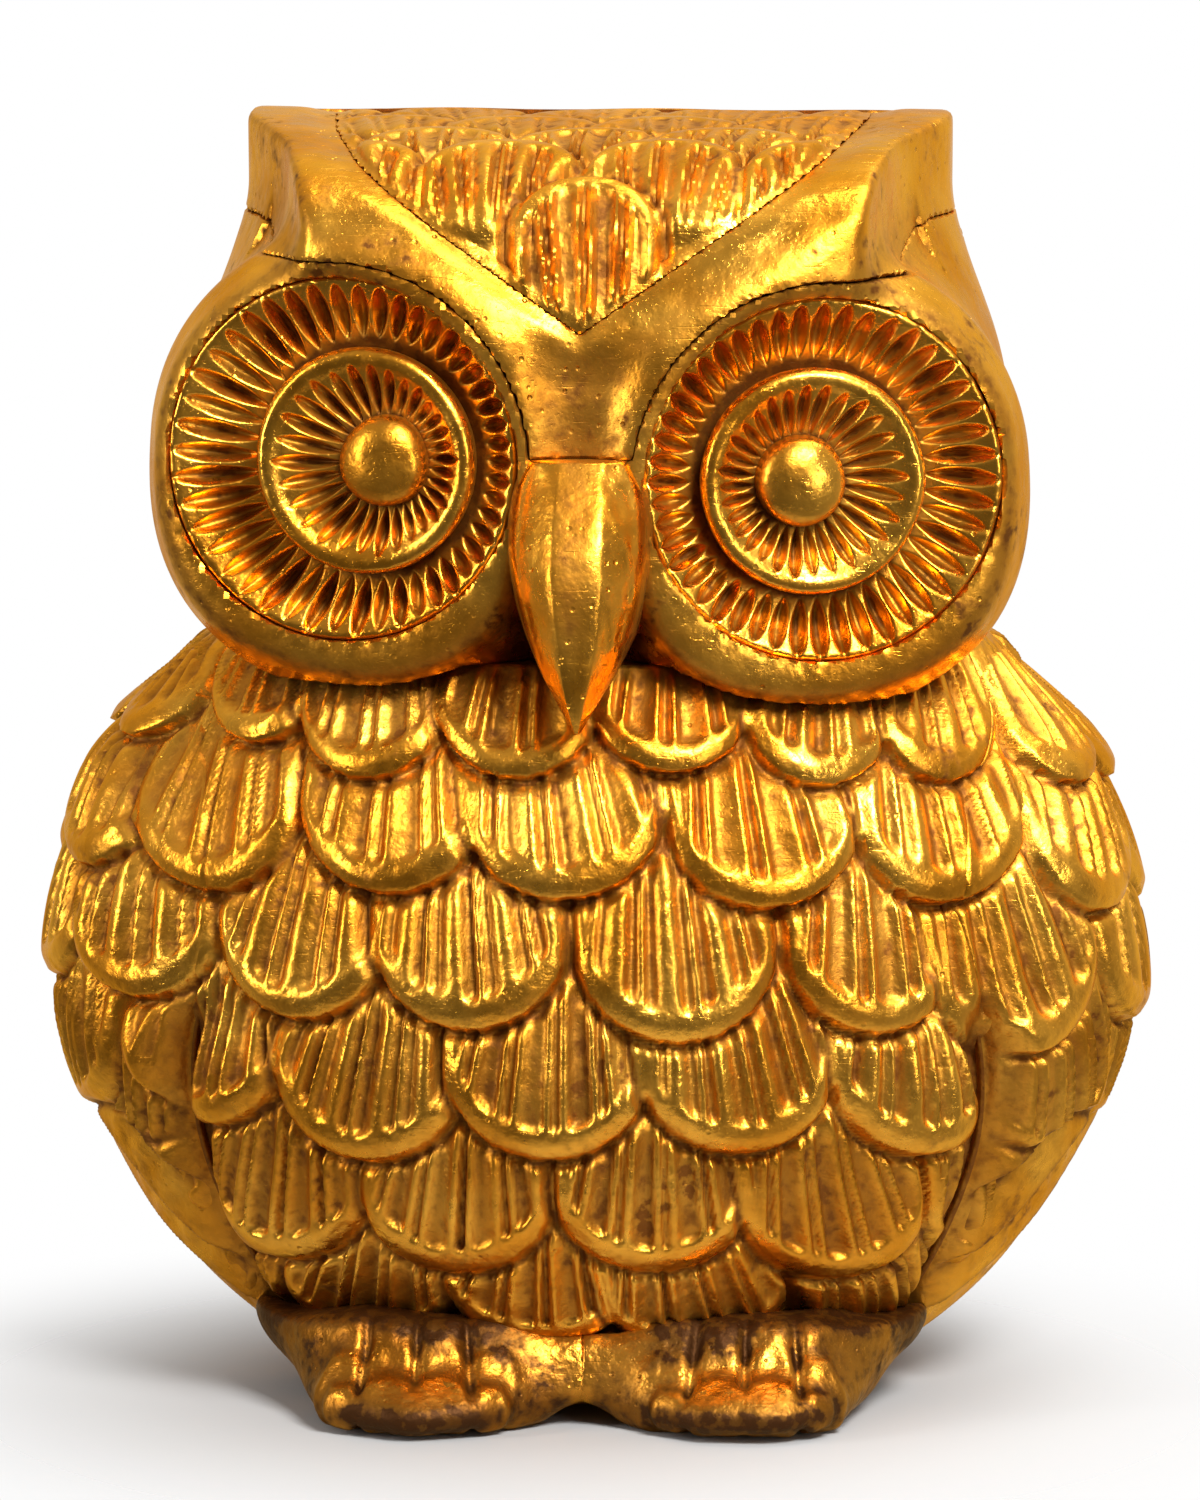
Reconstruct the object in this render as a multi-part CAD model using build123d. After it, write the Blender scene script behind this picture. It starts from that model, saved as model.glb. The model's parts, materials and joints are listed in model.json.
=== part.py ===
from build123d import *
import os
from math import cos, radians, sin, sqrt

# Brass owl figurine, built up from thin hollow castings that are brazed together, with riveted eyes.
# Millimetres. +Z is up, the owl looks along -Y and its own left side is +X. The origin is on the resting
# face, under the middle of the base plate.

# --- Driving sizes ---------------------------------------------------------------------------------

# Body: an egg, wider than it is deep, cut flat under the head and above the base plate.
BODY_HALF_WIDTH = 34.4
BODY_HALF_DEPTH = 29.0
BODY_MID_Z = 28.0
BODY_RISE = 35.0
BODY_DROP = 32.0
BODY_WALL = 2.6
NECK_Z = 50.5
SHELF_THICKNESS = 2.6
PARTING_Y = 0.0
LIP_THICKNESS = 1.2
LIP_LENGTH = 2.4

# Base plate, which closes the body below.
BASE_THICKNESS = 3.0
VENT_RADIUS = 2.5
VENT_Y = 7.5

# Wings and tail, which are shells brazed to the outside of the body.
WING_THICKNESS = 2.6
WING_FRONT_Y = -21.0
WING_BACK_Y = 19.0
WING_SHOULDER_Z = 50.0
WING_WIDEST_Z = 27.0
WING_TIP_Y = 6.0
WING_TIP_Z = 1.2
TAIL_THICKNESS = 3.4
TAIL_HALF_WIDTH = 10.0
TAIL_HEIGHT = 25.0

# Feet, which reach out in front of the belly and are tabbed into the base plate.
FOOT_X = 10.8
FOOT_HALF_WIDTH = 7.7
FOOT_FRONT_Y = -31.5
FOOT_HEIGHT = 6.0
TOES = 3
TOE_GROOVE_WIDTH = 0.9
TOE_GROOVE_DEPTH = 1.3
TAB_WIDTH = 7.0
TAB_LENGTH = 5.0

# Head: an egg that carries two short drums, one round each eye.
EYE_ABOVE_NECK = 13.5
HEAD_HALF_WIDTH = 27.4
HEAD_HALF_DEPTH = 22.0
HEAD_RISE = 26.0
HEAD_WALL = 2.6
SPIGOT_STEP = 1.6
SPIGOT_WALL = 1.8
DRUM_RADIUS = 13.3
DRUM_LENGTH = 24.0
DRUM_FRONT_Y = -22.2
EYE_YAW = 13.0
LEFT_EYE_DROP = 1.2
BRIDGE_HALF_WIDTH = 2.74

# Eyes: a dished surround in the mouth of each drum, a disc on it, and a pupil that is the head of a rivet.
SURROUND_LEDGE = 1.4
SURROUND_THICKNESS = 3.4
SURROUND_RIM = 0.7
DISH_DEPTH = 1.7
DISC_RADIUS = 7.4
DISC_THICKNESS = 2.8
DISC_RIM = 0.9
DISC_HOLLOW = 1.3
DISC_SEAT_MARGIN = 0.5
DISC_INWARD = {"left": 0.8, "right": 1.8}
PUPIL_INWARD = {"left": 1.9, "right": 3.4}
PUPIL_RADIUS = 2.9
PUPIL_HEIGHT = 2.4
SHANK_RADIUS = 1.5
RIVET_TAIL_RADIUS = 2.6
RIVET_TAIL_LENGTH = 1.2

# Crown: ear tufts, brows and forehead in one casting, with a feathered plate let into its top.
CROWN_RISE = 21.0
SEAM_RISE = 14.0
EAR_HALF_SPAN = 23.6
EAR_FRONT_Y = -1.0
CROWN_BACK_Y = 20.5
FOREHEAD_Y = -27.0
FOREHEAD_HALF_WIDTH = 4.0
BROW_X = 17.5
BROW_Y = -20.5
CROWN_ROOF = 4.6
PLATE_THICKNESS = 1.8
PLATE_HALF_WIDTH = 17.5
PLATE_APEX_DROP = 12.6
PLATE_CORNER_DROP = 0.8
PLATE_BACK_Y = 6.0

# Beak: a tapered kite on a round tenon that goes through the wall of the head.
BEAK_TOP_HALF_WIDTH = 4.2
BEAK_HALF_WIDTH = 5.3
BEAK_TOP_RISE = 0.4
BEAK_WIDEST_DROP = 5.5
BEAK_TIP_DROP = 17.6
BEAK_ROOT_Y = -24.0
BEAK_FRONT_Y = -31.6
BEAK_TAPER = 19.0
TENON_RADIUS = 1.8
TENON_DROP = 5.0
TENON_REACH = 1.2

# The play left round a tab, rivet shank, tenon or spigot for the braze to run into.
BRAZE_GAP = 0.05

# --- Derived places --------------------------------------------------------------------------------

EYE_Z = NECK_Z + EYE_ABOVE_NECK
EYE_X = BRIDGE_HALF_WIDTH + DRUM_RADIUS * cos(radians(EYE_YAW))
SEAM_Z = EYE_Z + SEAM_RISE
CROWN_TOP_Z = EYE_Z + CROWN_RISE
SURROUND_RADIUS = DRUM_RADIUS - SURROUND_LEDGE
BEAK_TOP_Z = EYE_Z + BEAK_TOP_RISE
REACH = 4 * (BODY_HALF_WIDTH + BODY_RISE)
SEAM_TURN = 35

SIDES = {"left": 1, "right": -1}


# --- Shapes used more than once --------------------------------------------------------------------


def egg(grow, half_width, half_depth, rise, drop, mid_z):
    """An egg: two half ellipsoids joined at mid_z, with every half axis grown by the same amount."""
    wide, deep = half_width + grow, half_depth + grow
    upper = EllipticalCenterArc((0, 0), wide, rise + grow, 0, arc_size=90)
    lower = EllipticalCenterArc((0, 0), wide, drop + grow, -90, arc_size=90)
    section = make_face(Plane.XZ * (upper + lower + Line(upper @ 1, lower @ 0)))
    turned = Rot(0, 0, SEAM_TURN) * revolve(section, Axis.Z)
    return Pos(0, 0, mid_z) * scale(turned, by=(1, deep / wide, 1))


def body_egg(grow=0.0):
    return egg(grow, BODY_HALF_WIDTH, BODY_HALF_DEPTH, BODY_RISE, BODY_DROP, BODY_MID_Z)


def head_egg(grow=0.0):
    return egg(grow, HEAD_HALF_WIDTH, HEAD_HALF_DEPTH, HEAD_RISE, HEAD_RISE, EYE_Z)


def region(x=None, y=None, z=None):
    """Everything between the (low, high) limits given along each axis."""
    limits = [span or (-REACH, REACH) for span in (x, y, z)]
    size = [high - low for low, high in limits]
    middle = [(high + low) / 2 for low, high in limits]
    return Pos(*middle) * Box(*size)


def front_prism(points, low_y, high_y):
    """A polygon of (x, z) points, pushed along Y."""
    outline = make_face(Polyline(*[(x, low_y, z) for x, z in points], close=True))
    return extrude(outline, high_y - low_y, dir=(0, 1, 0))


def side_prism(points, low_x, high_x):
    """A polygon of (y, z) points, pushed along X."""
    outline = make_face(Polyline(*[(low_x, y, z) for y, z in points], close=True))
    return extrude(outline, high_x - low_x, dir=(1, 0, 0))


def plan_prism(points, low_z, high_z):
    """A polygon of (x, y) points, pushed along Z."""
    outline = make_face(Polyline(*[(x, y, low_z) for x, y in points], close=True))
    return extrude(outline, high_z - low_z, dir=(0, 0, 1))


def ellipse_prism(half_width, half_depth, low_z, high_z):
    return extrude(Pos(0, 0, low_z) * Ellipse(half_width, half_depth), high_z - low_z)


def eye_z(side):
    return EYE_Z - (LEFT_EYE_DROP if side == "left" else 0)


def eye_plane(side):
    """The plane of a drum's mouth: its normal is the eye's axis and points outwards."""
    hand = SIDES[side]
    yaw = radians(EYE_YAW)
    outward = (hand * sin(yaw), -cos(yaw), 0)
    across = (cos(yaw), hand * sin(yaw), 0)
    return Plane(origin=(hand * EYE_X, DRUM_FRONT_Y, eye_z(side)), x_dir=across, z_dir=outward)


def eye_circle(side, radius, height, inward=0.0):
    """A circle across the eye's axis; inward shifts it towards the beak."""
    return eye_plane(side).offset(height).location * Pos(-SIDES[side] * inward, 0) * Circle(radius)


def eye_cylinder(side, radius, low, high, inward=0.0):
    """A cylinder along the eye's axis between two distances from the drum's mouth; outwards is positive."""
    return extrude(eye_circle(side, radius, low, inward), high - low)


def eye_dish(low_circle, high_circle):
    """The hollow between a smaller circle deep in an eye and a larger one, not always over its middle."""
    return loft([low_circle, high_circle])


def eye_turning(side, points, inward):
    """A solid turned about a line along the eye's axis from (radius, distance) points."""
    outline = make_face(Polyline(*[(r, 0, h) for r, h in points], close=True))
    return eye_plane(side).location * Pos(-SIDES[side] * inward, 0) * revolve(outline, Axis.Z)


def head_envelope():
    """The outside of the head casting: the egg between neck and seam, with both drums."""
    outside = head_egg() & region(z=(NECK_Z, SEAM_Z))
    for side in SIDES:
        outside += eye_cylinder(side, DRUM_RADIUS, -DRUM_LENGTH, 0)
    return outside


def eye_mouths():
    """The space in front of both surrounds, which nothing else of the head may cover."""
    mouths = []
    for side in SIDES:
        mouths.append(eye_cylinder(side, SURROUND_RADIUS, -SURROUND_THICKNESS, DRUM_LENGTH))
    return mouths


def neck_half_axes(inset):
    """Half axes of the head's outline at the neck, brought in by inset."""
    share = sqrt(1 - (EYE_ABOVE_NECK / HEAD_RISE) ** 2)
    return HEAD_HALF_WIDTH * share - inset, HEAD_HALF_DEPTH * share - inset


# --- Body, wings, tail, base and feet --------------------------------------------------------------


def neck_hole():
    wide, deep = neck_half_axes(SPIGOT_STEP)
    return ellipse_prism(wide + BRAZE_GAP, deep + BRAZE_GAP, NECK_Z - 2 * SHELF_THICKNESS, NECK_Z + 1)


def body_core(grow):
    """The hollow of the body: it stops below the shelf that the head stands on."""
    return body_egg(grow) & region(z=(-REACH, NECK_Z - SHELF_THICKNESS))


def breast_shell():
    front = body_egg() & region(y=(-REACH, PARTING_Y), z=(BASE_THICKNESS, NECK_Z))
    shell = front - body_core(-BODY_WALL) - neck_hole()
    for side in SIDES:
        shell -= eye_cylinder(side, DRUM_RADIUS, -DRUM_LENGTH, 0)
    return shell


def back_shell():
    """The rear half, with a lip that reaches inside the breast shell."""
    rear = body_egg() & region(y=(PARTING_Y, REACH), z=(BASE_THICKNESS, NECK_Z))
    lip_top = NECK_Z - SHELF_THICKNESS - BRAZE_GAP
    lip = body_egg(-BODY_WALL - BRAZE_GAP)
    lip = lip & region(y=(PARTING_Y - LIP_LENGTH, PARTING_Y + BODY_WALL), z=(BASE_THICKNESS, lip_top))
    return rear + lip - body_core(-BODY_WALL - LIP_THICKNESS) - neck_hole()


def wing(side):
    """A wing: a leaf-shaped piece of a shell that lies on the outside of the body."""
    middle_y = (WING_FRONT_Y + WING_BACK_Y) / 2
    outline = [
        (middle_y, WING_SHOULDER_Z),
        (WING_FRONT_Y + 3, 0.6 * WING_SHOULDER_Z + 0.4 * WING_WIDEST_Z),
        (WING_FRONT_Y, WING_WIDEST_Z),
        (0.6 * WING_FRONT_Y + 0.4 * WING_TIP_Y, 0.4 * WING_WIDEST_Z + 0.6 * WING_TIP_Z),
        (WING_TIP_Y, WING_TIP_Z),
        (0.8 * WING_BACK_Y + 0.2 * WING_TIP_Y, 0.6 * WING_WIDEST_Z + 0.4 * WING_TIP_Z),
        (WING_BACK_Y, WING_WIDEST_Z),
        (WING_BACK_Y - 4, 0.6 * WING_SHOULDER_Z + 0.4 * WING_WIDEST_Z),
    ]
    leaf = make_face(Spline(*[(0, y, z) for y, z in outline], periodic=True))
    reach = extrude(leaf, REACH / 2, dir=(SIDES[side], 0, 0))
    return (body_egg(WING_THICKNESS) - body_egg()) & reach & region(z=(0, NECK_Z))


def tail_fan():
    outline = [
        (-TAIL_HALF_WIDTH, 0),
        (TAIL_HALF_WIDTH, 0),
        (0.75 * TAIL_HALF_WIDTH, TAIL_HEIGHT - 3),
        (0.4 * TAIL_HALF_WIDTH, TAIL_HEIGHT),
        (-0.4 * TAIL_HALF_WIDTH, TAIL_HEIGHT),
        (-0.75 * TAIL_HALF_WIDTH, TAIL_HEIGHT - 3),
    ]
    return (body_egg(TAIL_THICKNESS) - body_egg()) & front_prism(outline, 0, REACH / 2)


def base_envelope():
    return body_egg() & region(z=(0, BASE_THICKNESS))


def plate_front_y(x):
    """How far forward the base plate's upper edge reaches at x."""
    share = sqrt(1 - ((BODY_MID_Z - BASE_THICKNESS) / BODY_DROP) ** 2)
    return -BODY_HALF_DEPTH * share * sqrt(1 - (x / (BODY_HALF_WIDTH * share)) ** 2)


def tab(side, play):
    """The tab behind a foot, or with play its slot in the base plate."""
    root_y = plate_front_y(FOOT_X) + TAB_LENGTH
    length = TAB_LENGTH + (root_y - TAB_LENGTH - FOOT_FRONT_Y) / 2
    root_up = (Align.CENTER, Align.MAX, Align.MIN)
    box = Box(TAB_WIDTH + 2 * play, length + play, BASE_THICKNESS + 2 * play, align=root_up)
    return Pos(SIDES[side] * FOOT_X, root_y + play, -play) * box


def base_plate():
    plate = base_envelope() - Pos(0, VENT_Y, 0) * Cylinder(VENT_RADIUS, 4 * BASE_THICKNESS)
    for side in SIDES:
        plate -= tab(side, BRAZE_GAP)
    return plate


def foot(side):
    """A foot with its toes parted by grooves; it meets belly and plate, and is tabbed into the plate."""
    x = SIDES[side] * FOOT_X
    profile = [
        (FOOT_FRONT_Y, 0),
        (FOOT_FRONT_Y, 0.4 * FOOT_HEIGHT),
        (FOOT_FRONT_Y + 1.5, 0.75 * FOOT_HEIGHT),
        (FOOT_FRONT_Y + 5, FOOT_HEIGHT),
        (plate_front_y(FOOT_X) + 4, FOOT_HEIGHT),
        (plate_front_y(FOOT_X) + 4, 0),
    ]
    block = side_prism(profile, x - FOOT_HALF_WIDTH, x + FOOT_HALF_WIDTH)
    block = fillet(block.edges().filter_by(Axis.Z).sort_by(Axis.Y)[:2], 0.35 * FOOT_HALF_WIDTH)
    toe_width = 2 * FOOT_HALF_WIDTH / TOES
    for n in range(1, TOES):
        top_groove = Box(TOE_GROOVE_WIDTH, 2 * FOOT_HEIGHT, 2 * TOE_GROOVE_DEPTH)
        front_groove = Box(TOE_GROOVE_WIDTH, 2 * TOE_GROOVE_DEPTH, 3 * FOOT_HEIGHT)
        groove_x = x - FOOT_HALF_WIDTH + n * toe_width
        block -= Pos(groove_x, FOOT_FRONT_Y, FOOT_HEIGHT) * top_groove
        block -= Pos(groove_x, FOOT_FRONT_Y, 0) * front_groove
    return block - body_egg() + tab(side, 0)


# --- Head, eyes, crown and beak --------------------------------------------------------------------


def head_shell():
    """The head casting, with a spigot that drops into the body's neck hole."""
    wide, deep = neck_half_axes(SPIGOT_STEP)
    spigot = ellipse_prism(wide, deep, NECK_Z - SHELF_THICKNESS, NECK_Z)
    shell = head_envelope() + spigot
    shell -= head_egg(-HEAD_WALL) & region(z=(NECK_Z, REACH))
    shell -= ellipse_prism(wide - SPIGOT_WALL, deep - SPIGOT_WALL, NECK_Z - 2 * SHELF_THICKNESS, NECK_Z + 1)
    for side in SIDES:
        shell -= eye_cylinder(side, SURROUND_RADIUS, -SURROUND_THICKNESS, 1)
        shell -= eye_cylinder(side, SURROUND_RADIUS - SURROUND_LEDGE, 1 - DRUM_LENGTH, 0)
    return shell - tenon(BRAZE_GAP)


def eye_surround(side):
    """The dished plate in the drum's mouth, with a flat seat for the disc and a hole for the rivet."""
    plate = eye_cylinder(side, SURROUND_RADIUS, -SURROUND_THICKNESS, 0)
    seat = eye_circle(side, DISC_RADIUS + DISC_SEAT_MARGIN, -DISH_DEPTH, DISC_INWARD[side])
    plate -= eye_dish(seat, eye_circle(side, SURROUND_RADIUS - SURROUND_RIM, 0))
    return plate - eye_cylinder(side, SHANK_RADIUS + BRAZE_GAP, -REACH, REACH, PUPIL_INWARD[side])


def eye_disc(side):
    """The inner disc: a raised rim round a shallow hollow, with the pupil's flat seat and rivet hole."""
    rim_top = DISC_THICKNESS - DISH_DEPTH
    disc = eye_cylinder(side, DISC_RADIUS, -DISH_DEPTH, rim_top, DISC_INWARD[side])
    seat = eye_circle(side, PUPIL_RADIUS + DISC_SEAT_MARGIN, rim_top - DISC_HOLLOW, PUPIL_INWARD[side])
    disc -= eye_dish(seat, eye_circle(side, DISC_RADIUS - DISC_RIM, rim_top, DISC_INWARD[side]))
    return disc - eye_cylinder(side, SHANK_RADIUS + BRAZE_GAP, -REACH, REACH, PUPIL_INWARD[side])


def pupil_rivet(side):
    """The pupil is the rivet's head; the shank goes through disc and surround and is peened behind them."""
    seat = DISC_THICKNESS - DISH_DEPTH - DISC_HOLLOW
    back = -SURROUND_THICKNESS
    return eye_turning(
        side,
        [
            (0, seat + PUPIL_HEIGHT),
            (0.8 * PUPIL_RADIUS, seat + PUPIL_HEIGHT),
            (PUPIL_RADIUS, seat + 0.8 * PUPIL_HEIGHT),
            (PUPIL_RADIUS, seat),
            (SHANK_RADIUS, seat),
            (SHANK_RADIUS, back),
            (RIVET_TAIL_RADIUS, back),
            (0.7 * RIVET_TAIL_RADIUS, back - RIVET_TAIL_LENGTH),
            (0, back - RIVET_TAIL_LENGTH),
        ],
        PUPIL_INWARD[side],
    )


def crown_profile(shift_y, shift_z):
    """The crown seen from the side: a steep forehead that rounds into a flat top and falls away behind."""
    ridge_z = CROWN_TOP_Z + shift_z
    points = [
        (FOREHEAD_Y + shift_y, BEAK_TOP_Z),
        (FOREHEAD_Y + 1.8 + shift_y, ridge_z - PLATE_APEX_DROP),
        (FOREHEAD_Y + 4.4 + shift_y, ridge_z - 5.2),
        (FOREHEAD_Y + 9.5 + shift_y, ridge_z - 2.2),
        (FOREHEAD_Y + 18 + shift_y, ridge_z - 0.8),
        (EAR_FRONT_Y + shift_y, ridge_z),
        (PLATE_BACK_Y + shift_y, ridge_z),
        (PLATE_BACK_Y + 7 + shift_y, ridge_z - 1.8),
        (CROWN_BACK_Y - 2.5, SEAM_Z + 1.5),
        (CROWN_BACK_Y, BEAK_TOP_Z),
    ]
    return side_prism(points, -REACH / 2, REACH / 2)


def crown_plan():
    """The crown seen from above: two ear corners, brows that sweep in to the forehead, and a round back."""
    half_front = [
        (EAR_HALF_SPAN, 0),
        (EAR_HALF_SPAN, EAR_FRONT_Y),
        (BROW_X, BROW_Y),
        (FOREHEAD_HALF_WIDTH, FOREHEAD_Y),
    ]
    front = plan_prism(half_front + [(-x, y) for x, y in reversed(half_front)], BEAK_TOP_Z, CROWN_TOP_Z + 1)
    back = ellipse_prism(EAR_HALF_SPAN, CROWN_BACK_Y, BEAK_TOP_Z, CROWN_TOP_Z + 1)
    return front + (back & region(y=(0, REACH)))


def forehead_wedge():
    """The part of the crown that comes down between the drums to the top of the beak."""
    half = BEAK_TOP_HALF_WIDTH + 1.2
    points = [(-half, BEAK_TOP_Z), (half, BEAK_TOP_Z), (BROW_X + 3, SEAM_Z), (-BROW_X - 3, SEAM_Z)]
    return front_prism(points, -REACH / 2, BROW_Y / 2)


def plate_envelope():
    """The layer of the crown's top that the feathered plate fills."""
    sink = PLATE_THICKNESS / sqrt(2)
    layer = crown_profile(0, 0) - crown_profile(sink, -sink)
    apex_z = CROWN_TOP_Z - PLATE_APEX_DROP
    corner_z = CROWN_TOP_Z - PLATE_CORNER_DROP
    points = [
        (0, apex_z),
        (PLATE_HALF_WIDTH, corner_z),
        (PLATE_HALF_WIDTH, CROWN_TOP_Z + 1),
        (-PLATE_HALF_WIDTH, CROWN_TOP_Z + 1),
        (-PLATE_HALF_WIDTH, corner_z),
    ]
    return layer & front_prism(points, -REACH / 2, PLATE_BACK_Y) & crown_plan()


def brow_crown():
    block = crown_profile(0, 0) & crown_plan()
    block = block & (region(z=(SEAM_Z, REACH)) + forehead_wedge())
    hollow = head_egg(-HEAD_WALL) & region(z=(0, CROWN_TOP_Z - CROWN_ROOF))
    return block - head_envelope() - hollow - plate_envelope() - eye_mouths()


def crown_plate():
    return plate_envelope()


def tenon(play):
    """The beak's round tenon, which goes through the wall of the head just below the bridge."""
    y = TENON_REACH + HEAD_WALL - HEAD_HALF_DEPTH
    root = Plane(origin=(0, y + play, BEAK_TOP_Z - TENON_DROP), x_dir=(1, 0, 0), z_dir=(0, -1, 0))
    return extrude(root * Circle(TENON_RADIUS + play), y - BEAK_ROOT_Y)


def beak():
    """A kite with sloping sides, cut to sit on the head between the drums and on the breast below."""
    outline = [
        (-BEAK_TOP_HALF_WIDTH, BEAK_TOP_Z),
        (BEAK_TOP_HALF_WIDTH, BEAK_TOP_Z),
        (BEAK_HALF_WIDTH, BEAK_TOP_Z - BEAK_WIDEST_DROP),
        (0, BEAK_TOP_Z - BEAK_TIP_DROP),
        (-BEAK_HALF_WIDTH, BEAK_TOP_Z - BEAK_WIDEST_DROP),
    ]
    face = make_face(Polyline(*[(x, BEAK_ROOT_Y, z) for x, z in outline], close=True))
    nose = extrude(face, BEAK_ROOT_Y - BEAK_FRONT_Y, dir=(0, -1, 0), taper=BEAK_TAPER)
    root = front_prism(outline, BEAK_ROOT_Y, BEAK_ROOT_Y / 2)
    return nose + root - head_envelope() - body_egg() - eye_mouths() + tenon(0)


# --- Write one file for each piece -----------------------------------------------------------------


def pieces():
    """Yields each piece's name and solid."""
    yield "base_plate", base_plate()
    yield "breast_shell", breast_shell()
    yield "back_shell", back_shell()
    yield "tail_fan", tail_fan()
    yield "head_shell", head_shell()
    yield "brow_crown", brow_crown()
    yield "crown_plate", crown_plate()
    yield "beak", beak()
    for side in SIDES:
        yield f"wing_{side}", wing(side)
        yield f"foot_{side}", foot(side)
        yield f"eye_surround_{side}", eye_surround(side)
        yield f"eye_disc_{side}", eye_disc(side)
        yield f"pupil_rivet_{side}", pupil_rivet(side)


os.makedirs("parts", exist_ok=True)
for name, solid in pieces():
    export_step(solid, f"parts/{name}.step")
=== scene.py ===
"""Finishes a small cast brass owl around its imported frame.

Every piece is sculpted in millimetres, in the frame's own axes: +Z up, the owl looks along -Y and its
own left side is +X. Body, wings and tail are shells that carry one field of chased feathers. Head, crown
and feet are carved from distance functions, so that neighbouring pieces share one flowing surface. The
radial flutes of the eyes are cut by Geometry Nodes.
"""

import json
import logging
import math
from dataclasses import dataclass, field
from enum import Enum
from typing import Callable, Optional, Sequence

import bpy
import numpy as np
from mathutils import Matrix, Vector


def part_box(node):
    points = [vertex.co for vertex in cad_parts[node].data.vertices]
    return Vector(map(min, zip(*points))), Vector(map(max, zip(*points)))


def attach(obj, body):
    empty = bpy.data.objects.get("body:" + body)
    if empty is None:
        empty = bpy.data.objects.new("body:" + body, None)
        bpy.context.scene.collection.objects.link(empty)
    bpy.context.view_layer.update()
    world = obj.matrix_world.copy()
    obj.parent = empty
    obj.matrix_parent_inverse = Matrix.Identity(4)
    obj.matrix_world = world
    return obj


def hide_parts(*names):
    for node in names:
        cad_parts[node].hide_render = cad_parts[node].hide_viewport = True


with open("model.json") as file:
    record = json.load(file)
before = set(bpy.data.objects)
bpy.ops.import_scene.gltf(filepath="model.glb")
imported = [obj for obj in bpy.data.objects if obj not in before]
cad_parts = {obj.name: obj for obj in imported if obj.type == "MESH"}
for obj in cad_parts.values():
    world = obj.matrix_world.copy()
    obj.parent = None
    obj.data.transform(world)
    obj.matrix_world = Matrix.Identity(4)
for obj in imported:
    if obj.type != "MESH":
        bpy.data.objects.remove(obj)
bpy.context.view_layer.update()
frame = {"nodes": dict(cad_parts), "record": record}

import openvdb
from mathutils import Matrix, Vector

log = logging.getLogger("owl")

MM = 0.001
Array = np.ndarray
Distance = Callable[[Array], Array]


class Side(Enum):
    """The owl's own left and right, with the sign of X on that side."""

    LEFT = 1
    RIGHT = -1

    @property
    def word(self) -> str:
        """The side as it ends a node's name."""
        return self.name.lower()


# --- Small maths -----------------------------------------------------------------------------------


def ramp(low: float, high: float, value: Array) -> Array:
    """Rises smoothly from 0 at low to 1 at high.

    Args:
        low: Where the ramp starts.
        high: Where the ramp ends; it may be below low, and then the ramp falls.
        value: The values to look up.

    Returns:
        The ramp's height at each value.
    """
    share = np.clip((value - low) / (high - low), 0.0, 1.0)
    return share * share * (3.0 - 2.0 * share)


def blend_min(first: Array, second: Array, reach: float) -> Array:
    """The smaller of two distances, rounded over where they are within reach of each other."""
    share = np.clip(0.5 + 0.5 * (second - first) / reach, 0.0, 1.0)
    return second * (1.0 - share) + first * share - reach * share * (1.0 - share)


def blend_max(first: Array, second: Array, reach: float) -> Array:
    """The larger of two distances, rounded over where they are within reach of each other."""
    return -blend_min(-first, -second, reach)


def lumps(points: Array, size: float, seed: int) -> Array:
    """Gentle hand-made unevenness between about -1 and 1.

    Args:
        points: Places in millimetres, with x, y, z last.
        size: The typical width of a lump in millimetres.
        seed: Chooses the pattern.

    Returns:
        One value for each point.
    """
    rng = np.random.default_rng(seed)
    total = np.zeros(points.shape[:-1])
    for _ in range(7):
        direction = rng.normal(size=3)
        direction *= rng.uniform(0.6, 1.5) * math.pi / size / np.linalg.norm(direction)
        total += np.sin(points @ direction + rng.uniform(0, 2 * math.pi))
    return total / 3.5


def smooth_curve(points: Sequence[tuple[float, float]], steps: int = 8, closed: bool = True) -> Array:
    """Runs a smooth curve through a few points.

    Args:
        points: The points that the curve passes through.
        steps: How many short runs each stretch is cut into.
        closed: Whether the curve returns to its first point.

    Returns:
        The curve's points, one per row.
    """
    knots = np.array(points, float)
    count = len(knots)
    curve = []
    for n in range(count if closed else count - 1):
        picks = [(n + k) % count if closed else min(max(n + k, 0), count - 1) for k in (-1, 0, 1, 2)]
        before, start, end, after = knots[picks]
        for share in np.arange(steps) / steps:
            linear = (end - before) * share
            square = (2 * before - 5 * start + 4 * end - after) * share**2
            cube = (3 * start - before - 3 * end + after) * share**3
            curve.append(start + 0.5 * (linear + square + cube))
    if not closed:
        curve.append(knots[-1])
    return np.array(curve)


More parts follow.
